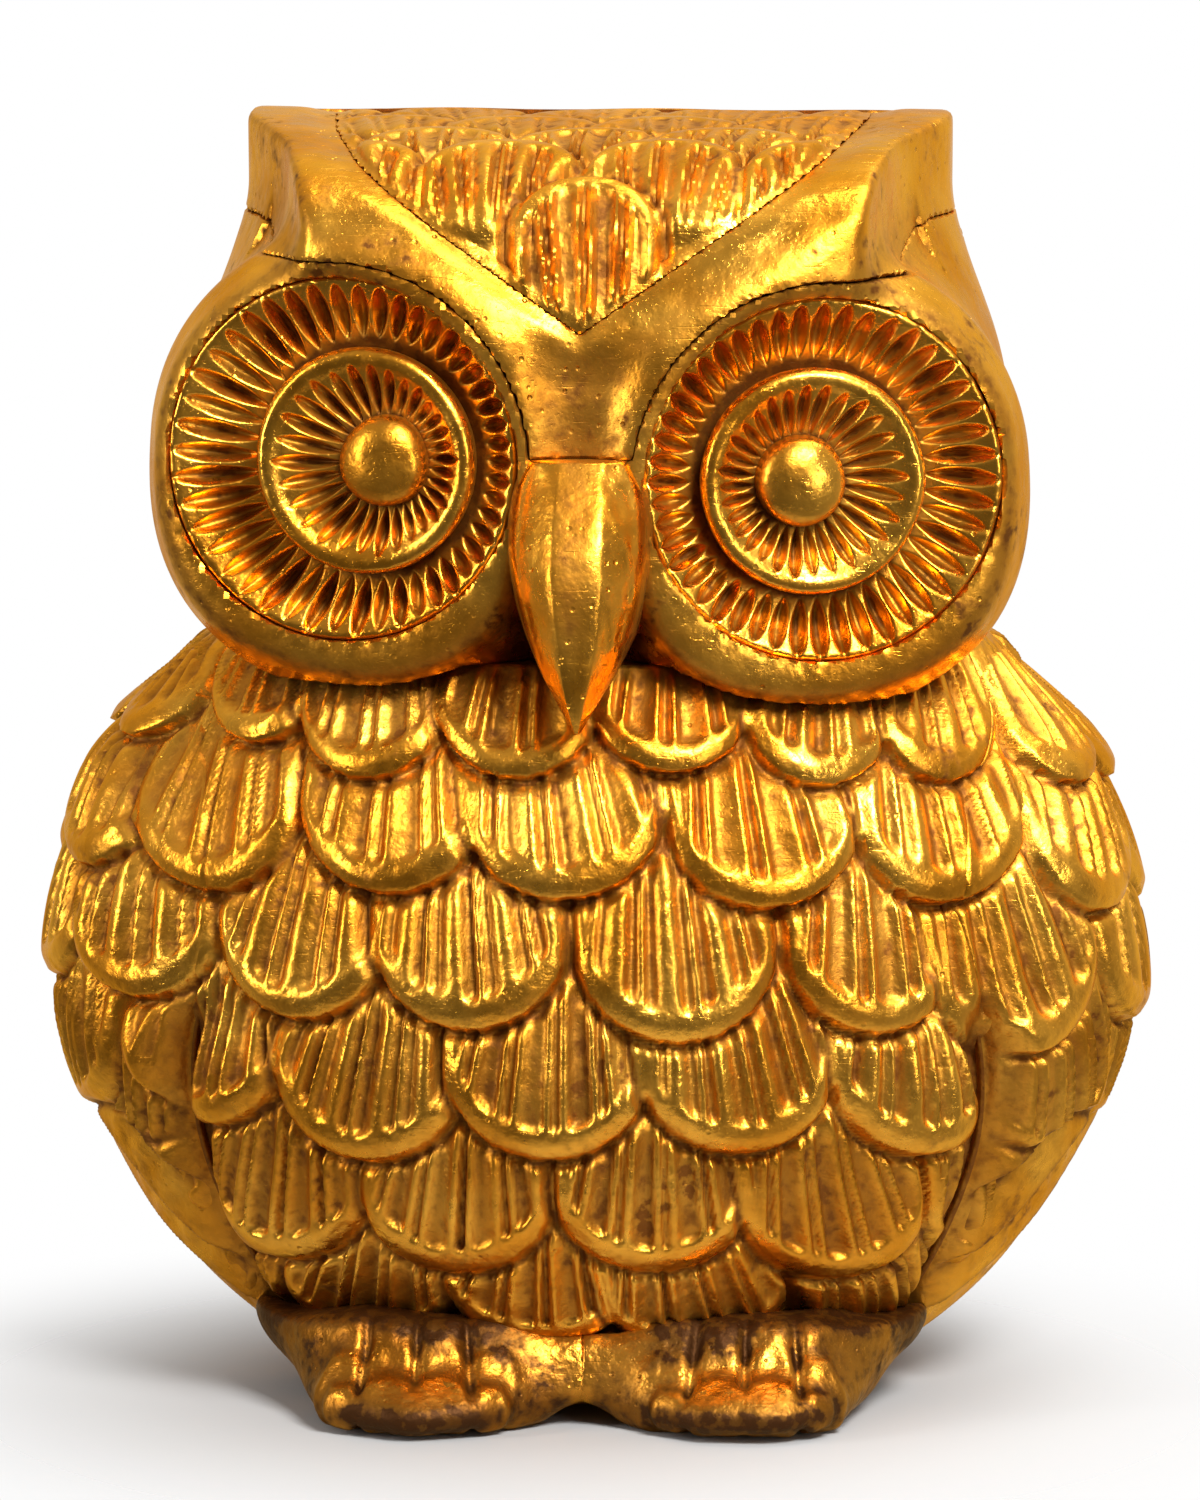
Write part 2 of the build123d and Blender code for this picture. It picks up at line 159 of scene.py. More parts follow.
class Outline:
    """A closed outline in a plane, with a table of signed distances to it."""

    def __init__(self, points: Array, margin: float = 8.0, cell: float = 0.2) -> None:
        """Measures the distance to the outline on a fine grid.

        Args:
            points: The outline's corners, in order.
            margin: How far round the outline the table reaches.
            cell: The table's spacing.
        """
        self.low = points.min(axis=0) - margin
        self.cell = cell
        counts = np.ceil((points.max(axis=0) + margin - self.low) / cell).astype(int) + 1
        axes = [self.low[k] + cell * np.arange(counts[k]) for k in range(2)]
        across, along = np.meshgrid(*axes, indexing="ij")
        nearest = np.full(across.shape, np.inf)
        inside = np.zeros(across.shape, bool)
        for start, end in zip(points, np.roll(points, -1, axis=0)):
            run = end - start
            share = ((across - start[0]) * run[0] + (along - start[1]) * run[1]) / max(run @ run, 1e-12)
            share = np.clip(share, 0, 1)
            gap = np.hypot(across - start[0] - share * run[0], along - start[1] - share * run[1])
            nearest = np.minimum(nearest, gap)
            if start[1] != end[1]:
                crosses = (start[1] > along) != (end[1] > along)
                meets = start[0] + (along - start[1]) / (end[1] - start[1]) * run[0]
                inside ^= crosses & (across < meets)
        self.table = np.where(inside, -nearest, nearest)

    def distance(self, across: Array, along: Array) -> Array:
        """Signed distance to the outline, negative inside.

        Args:
            across: First coordinates.
            along: Second coordinates.

        Returns:
            The distance at each place, read smoothly from the table.
        """
        u = np.clip((across - self.low[0]) / self.cell, 0, self.table.shape[0] - 1.001)
        v = np.clip((along - self.low[1]) / self.cell, 0, self.table.shape[1] - 1.001)
        i, j = u.astype(int), v.astype(int)
        u, v = u - i, v - j
        near = self.table[i, j] * (1 - v) + self.table[i, j + 1] * v
        far = self.table[i + 1, j] * (1 - v) + self.table[i + 1, j + 1] * v
        return near * (1 - u) + far * u


def node_box(node: str) -> tuple[Array, Array]:
    """A CAD node's lowest and highest corner, in millimetres."""
    low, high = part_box(node)
    return np.array(low) / MM, np.array(high) / MM


# --- Meshes ----------------------------------------------------------------------------------------


def make_piece(name: str, points: Array, faces: Array, hollow: Optional[Array] = None) -> bpy.types.Object:
    """Makes a smooth-shaded object from points in millimetres.

    Args:
        name: The piece's name.
        points: One row for each vertex.
        faces: One row of vertex numbers for each face; a triangle repeats its last number.
        hollow: How sheltered each vertex is, from 0 to 1, for the patina and for painted shade.

    Returns:
        The new object, linked to the scene.
    """
    triangular = faces[:, 2] == faces[:, 3]
    sizes = np.where(triangular, 3, 4).astype(np.int32)
    keep = np.ones(faces.shape, bool)
    keep[triangular, 3] = False
    corners = faces[keep].astype(np.int32)
    mesh = bpy.data.meshes.new(name)
    mesh.vertices.add(len(points))
    mesh.vertices.foreach_set("co", (points * MM).astype(np.float32).ravel())
    mesh.loops.add(len(corners))
    mesh.loops.foreach_set("vertex_index", corners)
    mesh.polygons.add(len(faces))
    mesh.polygons.foreach_set("loop_start", np.concatenate([[0], np.cumsum(sizes)[:-1]]).astype(np.int32))
    mesh.update(calc_edges=True)
    mesh.validate()
    mesh.shade_smooth()
    values = np.zeros(len(points)) if hollow is None else np.clip(hollow, 0, 1)
    mesh.attributes.new("hollow", "FLOAT", "POINT").data.foreach_set("value", values.astype(np.float32))
    piece = bpy.data.objects.new(name, mesh)
    bpy.context.scene.collection.objects.link(piece)
    return piece


def keep_crisp(piece: bpy.types.Object) -> bpy.types.Object:
    """Shades a carved piece smoothly but keeps its cut edges crisp."""
    piece.data.set_sharp_from_angle(angle=math.radians(28))
    return piece


def enclosed_volume(points: Array, faces: Array) -> float:
    """Measures the volume inside a closed mesh.

    Args:
        points: The mesh's vertices.
        faces: One row of vertex numbers for each face.

    Returns:
        The volume, negative where the faces point inwards.
    """
    total = 0.0
    for picks in ((0, 1, 2), (0, 2, 3)):
        a, b, c = (points[faces[:, k]] for k in picks)
        total += float(np.einsum("ij,ij->i", a, np.cross(b, c)).sum()) / 6
    return total


def grid_faces(rows: int, columns: int, first: int = 0) -> Array:
    """Joins a grid of vertices, numbered row by row, into quads.

    Args:
        rows: How many rows of vertices there are.
        columns: How many vertices each row has.
        first: The first vertex's number.

    Returns:
        One row of four vertex numbers for each quad.
    """
    number = first + np.arange(rows * columns).reshape(rows, columns)
    corners = (number[:-1, :-1], number[1:, :-1], number[1:, 1:], number[:-1, 1:])
    return np.stack([corner.ravel() for corner in corners], axis=1)


def grid_border(rows: int, columns: int, first: int = 0) -> Array:
    """Vertex numbers once round a grid's edge, starting at its first corner."""
    number = first + np.arange(rows * columns).reshape(rows, columns)
    return np.concatenate([number[:-1, 0], number[-1, :-1], number[:0:-1, -1], number[0, :0:-1]])


def shell(outer: Array, inner: Array, ratio: int) -> tuple[Array, Array]:
    """Closes a finely divided outer surface with a coarser inner one.

    Args:
        outer: Points of the outer grid, as rows x columns x 3.
        inner: Points of the inner grid, which has ratio times fewer spaces each way.
        ratio: How many outer spaces stand beside each inner one.

    Returns:
        The points and the faces, which point outwards.
    """
    rows, columns = outer.shape[:2]
    few_rows, few_columns = inner.shape[:2]
    first = rows * columns
    points = np.concatenate([outer.reshape(-1, 3), inner.reshape(-1, 3)])
    back = grid_faces(few_rows, few_columns, first)[:, ::-1]
    fine = grid_border(rows, columns)
    coarse = grid_border(few_rows, few_columns, first)
    strip = []
    for n, vertex in enumerate(coarse):
        following = coarse[(n + 1) % len(coarse)]
        edge = [fine[(n * ratio + k) % len(fine)] for k in range(ratio + 1)]
        half = ratio // 2
        for k in range(ratio):
            anchor = vertex if k < half else following
            strip.append((edge[k + 1], edge[k], anchor, anchor))
        strip.append((vertex, following, edge[half], edge[half]))
    faces = np.concatenate([grid_faces(rows, columns), back, np.array(strip)])
    if enclosed_volume(points, faces) < 0:
        faces = turn_over(faces)
    return points, faces


def turn_over(faces: Array) -> Array:
    """Turns faces to point the other way, with a triangle's repeated corner kept last.

    Args:
        faces: One row of vertex numbers for each face.

    Returns:
        The turned faces.
    """
    turned = faces[:, ::-1].copy()
    triangular = faces[:, 2] == faces[:, 3]
    turned[triangular] = faces[triangular][:, [1, 0, 2, 2]]
    return turned


def slope_of(distance: Distance, points: Array, step: float = 0.05) -> Array:
    """Finds the direction in which a distance grows fastest.

    Args:
        distance: The distance function.
        points: Where to look.
        step: How far to either side it is compared.

    Returns:
        The direction at each point, as long as the distance is steep there.
    """
    slope = np.empty(points.shape)
    for axis in range(3):
        shift = np.zeros(3)
        shift[axis] = step
        slope[:, axis] = (distance(points + shift) - distance(points - shift)) / (2 * step)
    return slope


def outward_of(distance: Distance, points: Array) -> Array:
    """The direction straight out of a surface at each point, one millimetre long."""
    slope = slope_of(distance, points)
    return slope / np.maximum(np.linalg.norm(slope, axis=1), 1e-6)[:, None]


def carve(distance: Distance, low: Array, high: Array, cell: float) -> tuple[Array, Array]:
    """Meshes the surface where a distance function is zero.

    Args:
        distance: Signed distance, negative inside.
        low: The lowest corner of the space to look in.
        high: The highest corner.
        cell: The spacing of the mesh's vertices.

    Returns:
        The points, moved onto the exact surface, and the quads, which point outwards.
    """
    axes = [np.arange(low[k] - 2 * cell, high[k] + 3 * cell, cell) for k in range(3)]
    values = np.empty([len(axis) for axis in axes], np.float32)
    across, along = np.meshgrid(axes[1], axes[2], indexing="ij")
    for n, x in enumerate(axes[0]):
        values[n] = distance(np.stack([np.full(across.shape, x), across, along], axis=-1))
    grid = openvdb.FloatGrid(background=3 * cell)
    grid.copyFromArray(values)
    points, faces = grid.convertToQuads(isovalue=0.0)
    points = points.astype(float) * cell + np.array([axis[0] for axis in axes])
    for _ in range(2):
        slope = slope_of(distance, points)
        steep = np.maximum((slope**2).sum(axis=1), 0.2)
        move = slope * (distance(points) / steep)[:, None]
        length = np.maximum(np.linalg.norm(move, axis=1), 1e-9)
        points -= move * np.minimum(1, 0.5 * cell / length)[:, None]
    faces = faces.astype(np.int64)
    if enclosed_volume(points, faces) < 0:
        faces = turn_over(faces)
    return points, faces


def sheltered(distance: Distance, points: Array, reach: float = 1.4) -> Array:
    """How deep in a hollow each surface point lies, from 0 in the open to 1.

    Args:
        distance: The surface's distance function.
        points: Points on the surface.
        reach: How far out to feel for walls.

    Returns:
        One value for each point.
    """
    outward = outward_of(distance, points)
    felt = np.zeros(len(points))
    for share in (0.35, 1.0):
        height = reach * share
        felt += np.clip(1 - distance(points + outward * height) / height, 0, 1)
    return np.clip(0.9 * felt, 0, 1)


# --- Finishes --------------------------------------------------------------------------------------


class Wire:
    """A value inside a node tree, which ordinary arithmetic turns into Math nodes."""

    def __init__(self, tree: bpy.types.NodeTree, source: object) -> None:
        """Wraps a socket or a plain number of one tree."""
        self.tree = tree
        self.source = source

    def feed(self, socket: bpy.types.NodeSocket) -> None:
        """Joins this value to an input socket.

        Args:
            socket: The input that takes the value.
        """
        if isinstance(self.source, (int, float)):
            socket.default_value = self.source
        else:
            self.tree.links.new(self.source, socket)

    def math(self, operation: str, *others: object) -> "Wire":
        """A Math node on this value and up to two more.

        Args:
            operation: The Math node's operation.
            *others: Further wires or numbers.

        Returns:
            The node's result.
        """
        node = self.tree.nodes.new("ShaderNodeMath")
        node.operation = operation
        for socket, value in zip(node.inputs, (self, *others)):
            (value if isinstance(value, Wire) else Wire(self.tree, value)).feed(socket)
        return Wire(self.tree, node.outputs[0])

    def __add__(self, other: object) -> "Wire":
        """Sum."""
        return self.math("ADD", other)

    def __sub__(self, other: object) -> "Wire":
        """Difference."""
        return self.math("SUBTRACT", other)

    def __mul__(self, other: object) -> "Wire":
        """Product."""
        return self.math("MULTIPLY", other)

    def __truediv__(self, other: object) -> "Wire":
        """Quotient."""
        return self.math("DIVIDE", other)

    def ramp(self, low: float, high: float, top: float = 1.0) -> "Wire":
        """Rises smoothly from 0 at low to top at high.

        Args:
            low: Where the ramp starts.
            high: Where the ramp ends; it may be below low, and then the ramp falls.
            top: The ramp's height.

        Returns:
            The ramp's value.
        """
        node = self.tree.nodes.new("ShaderNodeMapRange")
        node.interpolation_type = "SMOOTHSTEP"
        self.feed(node.inputs["Value"])
        node.inputs["From Min"].default_value = low
        node.inputs["From Max"].default_value = high
        node.inputs["To Max"].default_value = top
        return Wire(self.tree, node.outputs["Result"])

    def clamp(self) -> "Wire":
        """This value, held between 0 and 1."""
        return self.math("MAXIMUM", 0.0).math("MINIMUM", 1.0)


def new_group(name: str, takes: dict[str, str], gives: dict[str, str]) -> tuple:
    """Starts a shader node group.

    Args:
        name: The group's name.
        takes: Input names and socket types.
        gives: Output names and socket types.

    Returns:
        The group's tree, its input node and its output node.
    """
    tree = bpy.data.node_groups.new(name, "ShaderNodeTree")
    for label, kind in takes.items():
        tree.interface.new_socket(name=label, in_out="INPUT", socket_type=kind)
    for label, kind in gives.items():
        tree.interface.new_socket(name=label, in_out="OUTPUT", socket_type=kind)
    return tree, tree.nodes.new("NodeGroupInput"), tree.nodes.new("NodeGroupOutput")


def place_texture(tree: bpy.types.NodeTree, kind: str, stretch: tuple, turn: tuple = (0, 0, 0)) -> object:
    """A texture node that reads stretched and turned Object coordinates.

    Args:
        tree: The tree to build in.
        kind: The texture node's type.
        stretch: Scale along each axis, in cycles per metre.
        turn: Rotation about each axis, in degrees.

    Returns:
        The texture node.
    """
    place = tree.nodes.new("ShaderNodeTexCoord")
    mapping = tree.nodes.new("ShaderNodeMapping")
    mapping.inputs["Rotation"].default_value = [math.radians(angle) for angle in turn]
    mapping.inputs["Scale"].default_value = stretch
    texture = tree.nodes.new(kind)
    texture.inputs["Scale"].default_value = 1.0
    tree.links.new(place.outputs["Object"], mapping.inputs["Vector"])
    tree.links.new(mapping.outputs["Vector"], texture.inputs["Vector"])
    return texture


def cloud(tree: bpy.types.NodeTree, size_mm: float, detail: float = 3.0, turn: tuple = (0, 0, 0)) -> Wire:
    """Adds plain noise.

    Args:
        tree: The tree to build in.
        size_mm: About how wide the patches are.
        detail: How much finer noise lies on them.
        turn: Rotation about each axis, in degrees.

    Returns:
        The noise, from 0 to 1.
    """
    texture = place_texture(tree, "ShaderNodeTexNoise", (1 / (size_mm * MM),) * 3, turn)
    texture.inputs["Detail"].default_value = detail
    return Wire(tree, texture.outputs["Fac"])


def build_skin_group() -> bpy.types.NodeTree:
    """The cast and worked skin of the metal: its dents, pits and scratches as a height in millimetres.

    Returns:
        The node group.
    """
    takes = {"Hammer": "NodeSocketFloat", "Pits": "NodeSocketFloat", "Scratches": "NodeSocketFloat"}
    gives = {"Height": "NodeSocketFloat", "Pit Mask": "NodeSocketFloat"}
    tree, start, end = new_group("worked metal skin", takes, gives)
    dents = place_texture(tree, "ShaderNodeTexVoronoi", (620, 620, 620))
    dents.feature = "SMOOTH_F1"
    dents.inputs["Smoothness"].default_value = 0.6
    hammer = Wire(tree, dents.outputs["Distance"]) * 0.06 + cloud(tree, 1.4, 3) * 0.20
    grain = cloud(tree, 0.45, 2) * 0.03
    cells = place_texture(tree, "ShaderNodeTexVoronoi", (1400, 1400, 1400))
    chosen = Wire(tree, cells.outputs["Color"]).math("GREATER_THAN", 0.70)
    pit = Wire(tree, cells.outputs["Distance"]).ramp(0.30, 0.08) * chosen
    pit = pit * cloud(tree, 6, 2).ramp(0.42, 0.62)
    lines = None
    for stretch, turn in (((260, 5200, 5200), (12, 25, 40)), ((5200, 300, 5200), (35, -20, -28))):
        streak = place_texture(tree, "ShaderNodeTexNoise", stretch, turn)
        streak.inputs["Detail"].default_value = 2
        line = Wire(tree, streak.outputs["Fac"]).ramp(0.62, 0.76)
        lines = line if lines is None else lines + line
    height = (hammer + grain) * Wire(tree, start.outputs["Hammer"])
    height = height - pit * Wire(tree, start.outputs["Pits"]) * 0.11
    height = height - lines * Wire(tree, start.outputs["Scratches"]) * 0.012
    height.feed(end.inputs["Height"])
    pit.feed(end.inputs["Pit Mask"])
    return tree


def build_patina_group() -> bpy.types.NodeTree:
    """Colour and gloss of rubbed brass with brown patina left in its hollows; the same patina colour also
    shows the painted shade that some pieces put into their shelter values.

    Returns:
        The node group.
    """
    takes = {
        "Bright": "NodeSocketColor",
        "Deep": "NodeSocketColor",
        "Patina": "NodeSocketColor",
        "Hollow": "NodeSocketFloat",
        "Pit Mask": "NodeSocketFloat",
        "Grime": "NodeSocketFloat",
        "Polish": "NodeSocketFloat",
    }
    gives = {"Color": "NodeSocketColor", "Roughness": "NodeSocketFloat", "Metallic": "NodeSocketFloat"}
    tree, start, end = new_group("rubbed patina", takes, gives)
    patches = cloud(tree, 9, 4).ramp(0.38, 0.66)
    specks = cloud(tree, 0.9, 4).ramp(0.40, 0.76)
    stains = cloud(tree, 4.5, 5, (20, 40, 10)).ramp(0.54, 0.70)
    hollow = Wire(tree, start.outputs["Hollow"])
    grime = Wire(tree, start.outputs["Grime"])
    # Patina, grime and painted shade: the shelter value darkens the colour towards the patina colour, and it
    # carries painted shade where a piece puts it there.
    patina_grime_and_painted_shade = hollow.math("POWER", 1.2) * 0.90 + hollow * specks * 0.4 + (stains + 0.15) * specks * grime
    patina_grime_and_painted_shade = (patina_grime_and_painted_shade + Wire(tree, start.outputs["Pit Mask"]) * 0.12).clamp()
    tone = tree.nodes.new("ShaderNodeMix")
    tone.data_type = "RGBA"
    patches.feed(tone.inputs["Factor"])
    tree.links.new(start.outputs["Deep"], tone.inputs["A"])
    tree.links.new(start.outputs["Bright"], tone.inputs["B"])
    coat = tree.nodes.new("ShaderNodeMix")
    coat.data_type = "RGBA"
    patina_grime_and_painted_shade.feed(coat.inputs["Factor"])
    tree.links.new(tone.outputs["Result"], coat.inputs["A"])
    tree.links.new(start.outputs["Patina"], coat.inputs["B"])
    tree.links.new(coat.outputs["Result"], end.inputs["Color"])
    smear = cloud(tree, 2.5, 4, (50, 10, 30)).ramp(0.35, 0.7)
    rough = Wire(tree, start.outputs["Polish"]) + smear * 0.10 + patches * -0.03 + patina_grime_and_painted_shade * 0.30
    rough.clamp().feed(end.inputs["Roughness"])
    (Wire(tree, 1.0) - patina_grime_and_painted_shade * 0.30).feed(end.inputs["Metallic"])
    return tree


@dataclass(frozen=True)
class BrassFinish:
    """One finish of the same brass: how far it was polished and how much patina was left on it."""

    name: str
    slot: str
    bright: tuple[float, float, float] = (0.97, 0.47, 0.052)
    deep: tuple[float, float, float] = (0.78, 0.305, 0.020)
    patina: tuple[float, float, float] = (0.140, 0.044, 0.005)
    edge: tuple[float, float, float] = (1.0, 0.80, 0.46)
    polish: float = 0.20
    grime: float = 0.35
    hammer: float = 1.0
    pits: float = 1.0
    scratches: float = 1.0

    def build(self, skin: bpy.types.NodeTree, patina: bpy.types.NodeTree) -> bpy.types.Material:
        """Builds the material.

        Args:
            skin: The worked metal skin group.
            patina: The rubbed patina group.

        Returns:
            The material.
        """
        material = bpy.data.materials.new(self.name)
        material.use_nodes = True
        tree = material.node_tree
        shader = next(node for node in tree.nodes if node.type == "BSDF_PRINCIPLED")
        surface = tree.nodes.new("ShaderNodeGroup")
        surface.node_tree = skin
        surface.inputs["Hammer"].default_value = self.hammer
        surface.inputs["Pits"].default_value = self.pits
        surface.inputs["Scratches"].default_value = self.scratches
        colour = tree.nodes.new("ShaderNodeGroup")
        colour.node_tree = patina
        for label, value in (("Bright", self.bright), ("Deep", self.deep), ("Patina", self.patina)):
            colour.inputs[label].default_value = (*value, 1.0)
        colour.inputs["Grime"].default_value = self.grime
        colour.inputs["Polish"].default_value = self.polish
        shader.inputs["Specular Tint"].default_value = (*self.edge, 1.0)
        hollow = tree.nodes.new("ShaderNodeAttribute")
        hollow.attribute_name = "hollow"
        tree.links.new(hollow.outputs["Fac"], colour.inputs["Hollow"])
        tree.links.new(surface.outputs["Pit Mask"], colour.inputs["Pit Mask"])
        bump = tree.nodes.new("ShaderNodeBump")
        bump.inputs["Distance"].default_value = MM
        tree.links.new(surface.outputs["Height"], bump.inputs["Height"])
        tree.links.new(bump.outputs["Normal"], shader.inputs["Normal"])
        tree.links.new(colour.outputs["Color"], shader.inputs["Base Color"])
        tree.links.new(colour.outputs["Roughness"], shader.inputs["Roughness"])
        tree.links.new(colour.outputs["Metallic"], shader.inputs["Metallic"])
        return material


class Workshop:
    """Holds the finishes, and puts each finished piece on the owl in place of its CAD node."""

    def __init__(self) -> None:
        """Builds the shared node groups and every finish."""
        skin, patina = build_skin_group(), build_patina_group()
        finishes = (
            BrassFinish("buffed brass", "polished_brass", polish=0.23, grime=0.8, hammer=0.55, pits=0.8),
            BrassFinish(
                "chased feather brass",
                "feathered_brass",
                patina=(0.200, 0.066, 0.008),
                polish=0.25,
                grime=0.8,
                hammer=0.8,
                pits=0.4,
            ),
            BrassFinish("chased eye brass", "eye_brass", polish=0.22, grime=0.5, hammer=0.6, pits=0.4),
            BrassFinish(
                "dull cast brass",
                "dark_brass",
                bright=(0.72, 0.31, 0.034),
                deep=(0.40, 0.140, 0.010),
                # This very dark patina colour also paints the shadow under the body's hem on the feet.
                patina=(0.045, 0.013, 0.002),
                polish=0.21,
                grime=0.6,
                pits=0.8,
            ),
        )
        self.materials = {finish.slot: finish.build(skin, patina) for finish in finishes}
        self.slots = {part["node"]: part["material_slot"] for part in frame["record"]["subparts"]}

    def material_for(self, node: str) -> bpy.types.Material:
        """The material that a CAD node's slot is finished in."""
        return self.materials[self.slots[node]]

    def fit(self, piece: bpy.types.Object, node: str) -> None:
        """Dresses a piece, puts it on the owl and lets it stand for its CAD node.

        Args:
            piece: The finished object.
            node: The CAD node that it replaces.
        """
        if not piece.data.materials:
            piece.data.materials.append(self.material_for(node))
        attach(piece, "root")
        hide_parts(node)
        log.info("%s replaces %s: %d faces", piece.name, node, len(piece.data.polygons))

    def dress_node(self, node: str) -> None:
        """Gives a CAD node that keeps its own shape its finish.

        Args:
            node: The CAD node.
        """
        target = frame["nodes"][node]
        target.data.materials.clear()
        target.data.materials.append(self.material_for(node))
        log.info("%s keeps its own shape", node)


# --- Feathers --------------------------------------------------------------------------------------


@dataclass(frozen=True)
class FeatherRow:
    """One row of feathers. Tips are measured along the surface, upwards from its widest level."""

    tip: float
    pitch: float = 13.4
    shift: float = 0.0
    half_width: float = 6.9
    length: float = 16.0
    flutes: int = 7


@dataclass
class Feathers:
    """Overlapping feathers with raised rims and gouged flutes, as a height over a surface."""

    rows: Sequence[FeatherRow]
    span: float
    seed: int
    lift: float = 1.95
    flute_depth: float = 0.75
    rim: float = 1.6
    side_rim: float = 0.8
    jitter: float = 0.45
    slopes: tuple[float, float] = (0.0, 0.0)
    lean: float = 0.15

    def relief(self, across: Array, along: Array) -> tuple[Array, Array]:
        """Height and shelter of the feathers; upper rows lie over lower ones.

        Args:
            across: Sideways distance along the surface.
            along: Upward distance along the surface.

        Returns:
            The height above the surface and how hollow each place is.
        """
        rng = np.random.default_rng(self.seed)
        shape = across.shape
        across, along = across.ravel(), along.ravel()
        height, hollow = np.zeros(across.shape), np.zeros(across.shape)
        for row in sorted(self.rows, key=lambda one: one.tip):
            count = int(self.span / row.pitch) + 1
            for n in range(-count, count + 1):
                middle = row.shift + n * row.pitch + rng.normal(0, self.jitter)
                tip = row.tip - self.slopes[middle > 0] * abs(middle) + rng.normal(0, self.jitter)
                turn = rng.normal(0, 0.06) + self.lean * math.sin(middle / 26)
                flutes = rng.uniform(0.65, 1.1, (2, row.flutes + 4))
                reach = row.half_width + 2
                beside = np.abs(across - middle) < reach + 2
                near = np.flatnonzero(beside & (along > tip - 2) & (along < tip + row.length))
                if len(near):
                    places = across[near] - middle, along[near] - tip
                    self._lay(row, places, turn, flutes, height, hollow, near)
        return height.reshape(shape), hollow.reshape(shape)

    def _lay(
        self,
        row: FeatherRow,
        places: tuple[Array, Array],
        turn: float,
        flutes: Array,
        height: Array,
        hollow: Array,
        near: Array,
    ) -> None:
        """Lays one feather over what is already there.

        Args:
            row: The feather's row.
            places: Sideways and upward distances from the feather's tip.
            turn: The feather's tilt in radians.
            flutes: Each flute's depth and end, as shares.
            height: The relief, changed in place.
            hollow: The shelter, changed in place.
            near: Which places the feather may reach.
        """
        a = places[0] * math.cos(turn) + places[1] * math.sin(turn)
        b = places[1] * math.cos(turn) - places[0] * math.sin(turn)
        bow = 0.95 * row.half_width
        radius = np.hypot(a / row.half_width, np.minimum(b - bow, 0) / bow)
        edge = (1 - radius) * row.half_width
        cover = ramp(-0.05, 0.42, edge) * ramp(row.length, row.length - 2.5, b)
        body = self.lift * (1 - b / 15.5) + 0.35 * (1 - np.minimum(radius, 1) ** 2)
        body -= 0.50 * ramp(self.rim, 0.0, edge)
        meet = 2.4 * row.length
        fan = a / row.half_width * meet / np.maximum(meet - b, 1.0)
        count = fan * row.flutes / 2 + 0.5 * (row.flutes % 2)
        count += 0.2 * np.sin(3.1 * count + 40 * turn)
        number = np.floor(count)
        from_middle = 2 * (count - number) - 1
        pick = np.clip(number + row.flutes // 2 + 1, 0, flutes.shape[1] - 1).astype(int)
        margin = self.side_rim + (self.rim - self.side_rim) * ramp(bow, 0.25 * bow, b)
        ends = margin + (0.6 * flutes[1][pick] + 0.4 * from_middle**2) * ramp(bow, 0.4 * bow, b)
        gouge = ramp(0.98, 0.15, np.abs(from_middle)) * flutes[0][pick]
        gouge *= ramp(0.0, 0.75, edge - ends) * ramp(row.length - 1, 0.55 * row.length, b)
        body -= self.flute_depth * gouge
        outside = np.exp(-(((edge + 0.25) / 0.38) ** 2)) * (edge < 0.4)
        outside *= ramp(row.length - 3, row.length - 6, b)
        height[near] = (height[near] - 0.50 * outside) * (1 - cover) + body * cover
        sheltered_here = np.maximum(hollow[near], 0.95 * outside)
        grooved = (0.08 + 0.72 * gouge) * ramp(0.0, 0.8, edge)
        hollow[near] = sheltered_here * (1 - cover) + grooved * cover


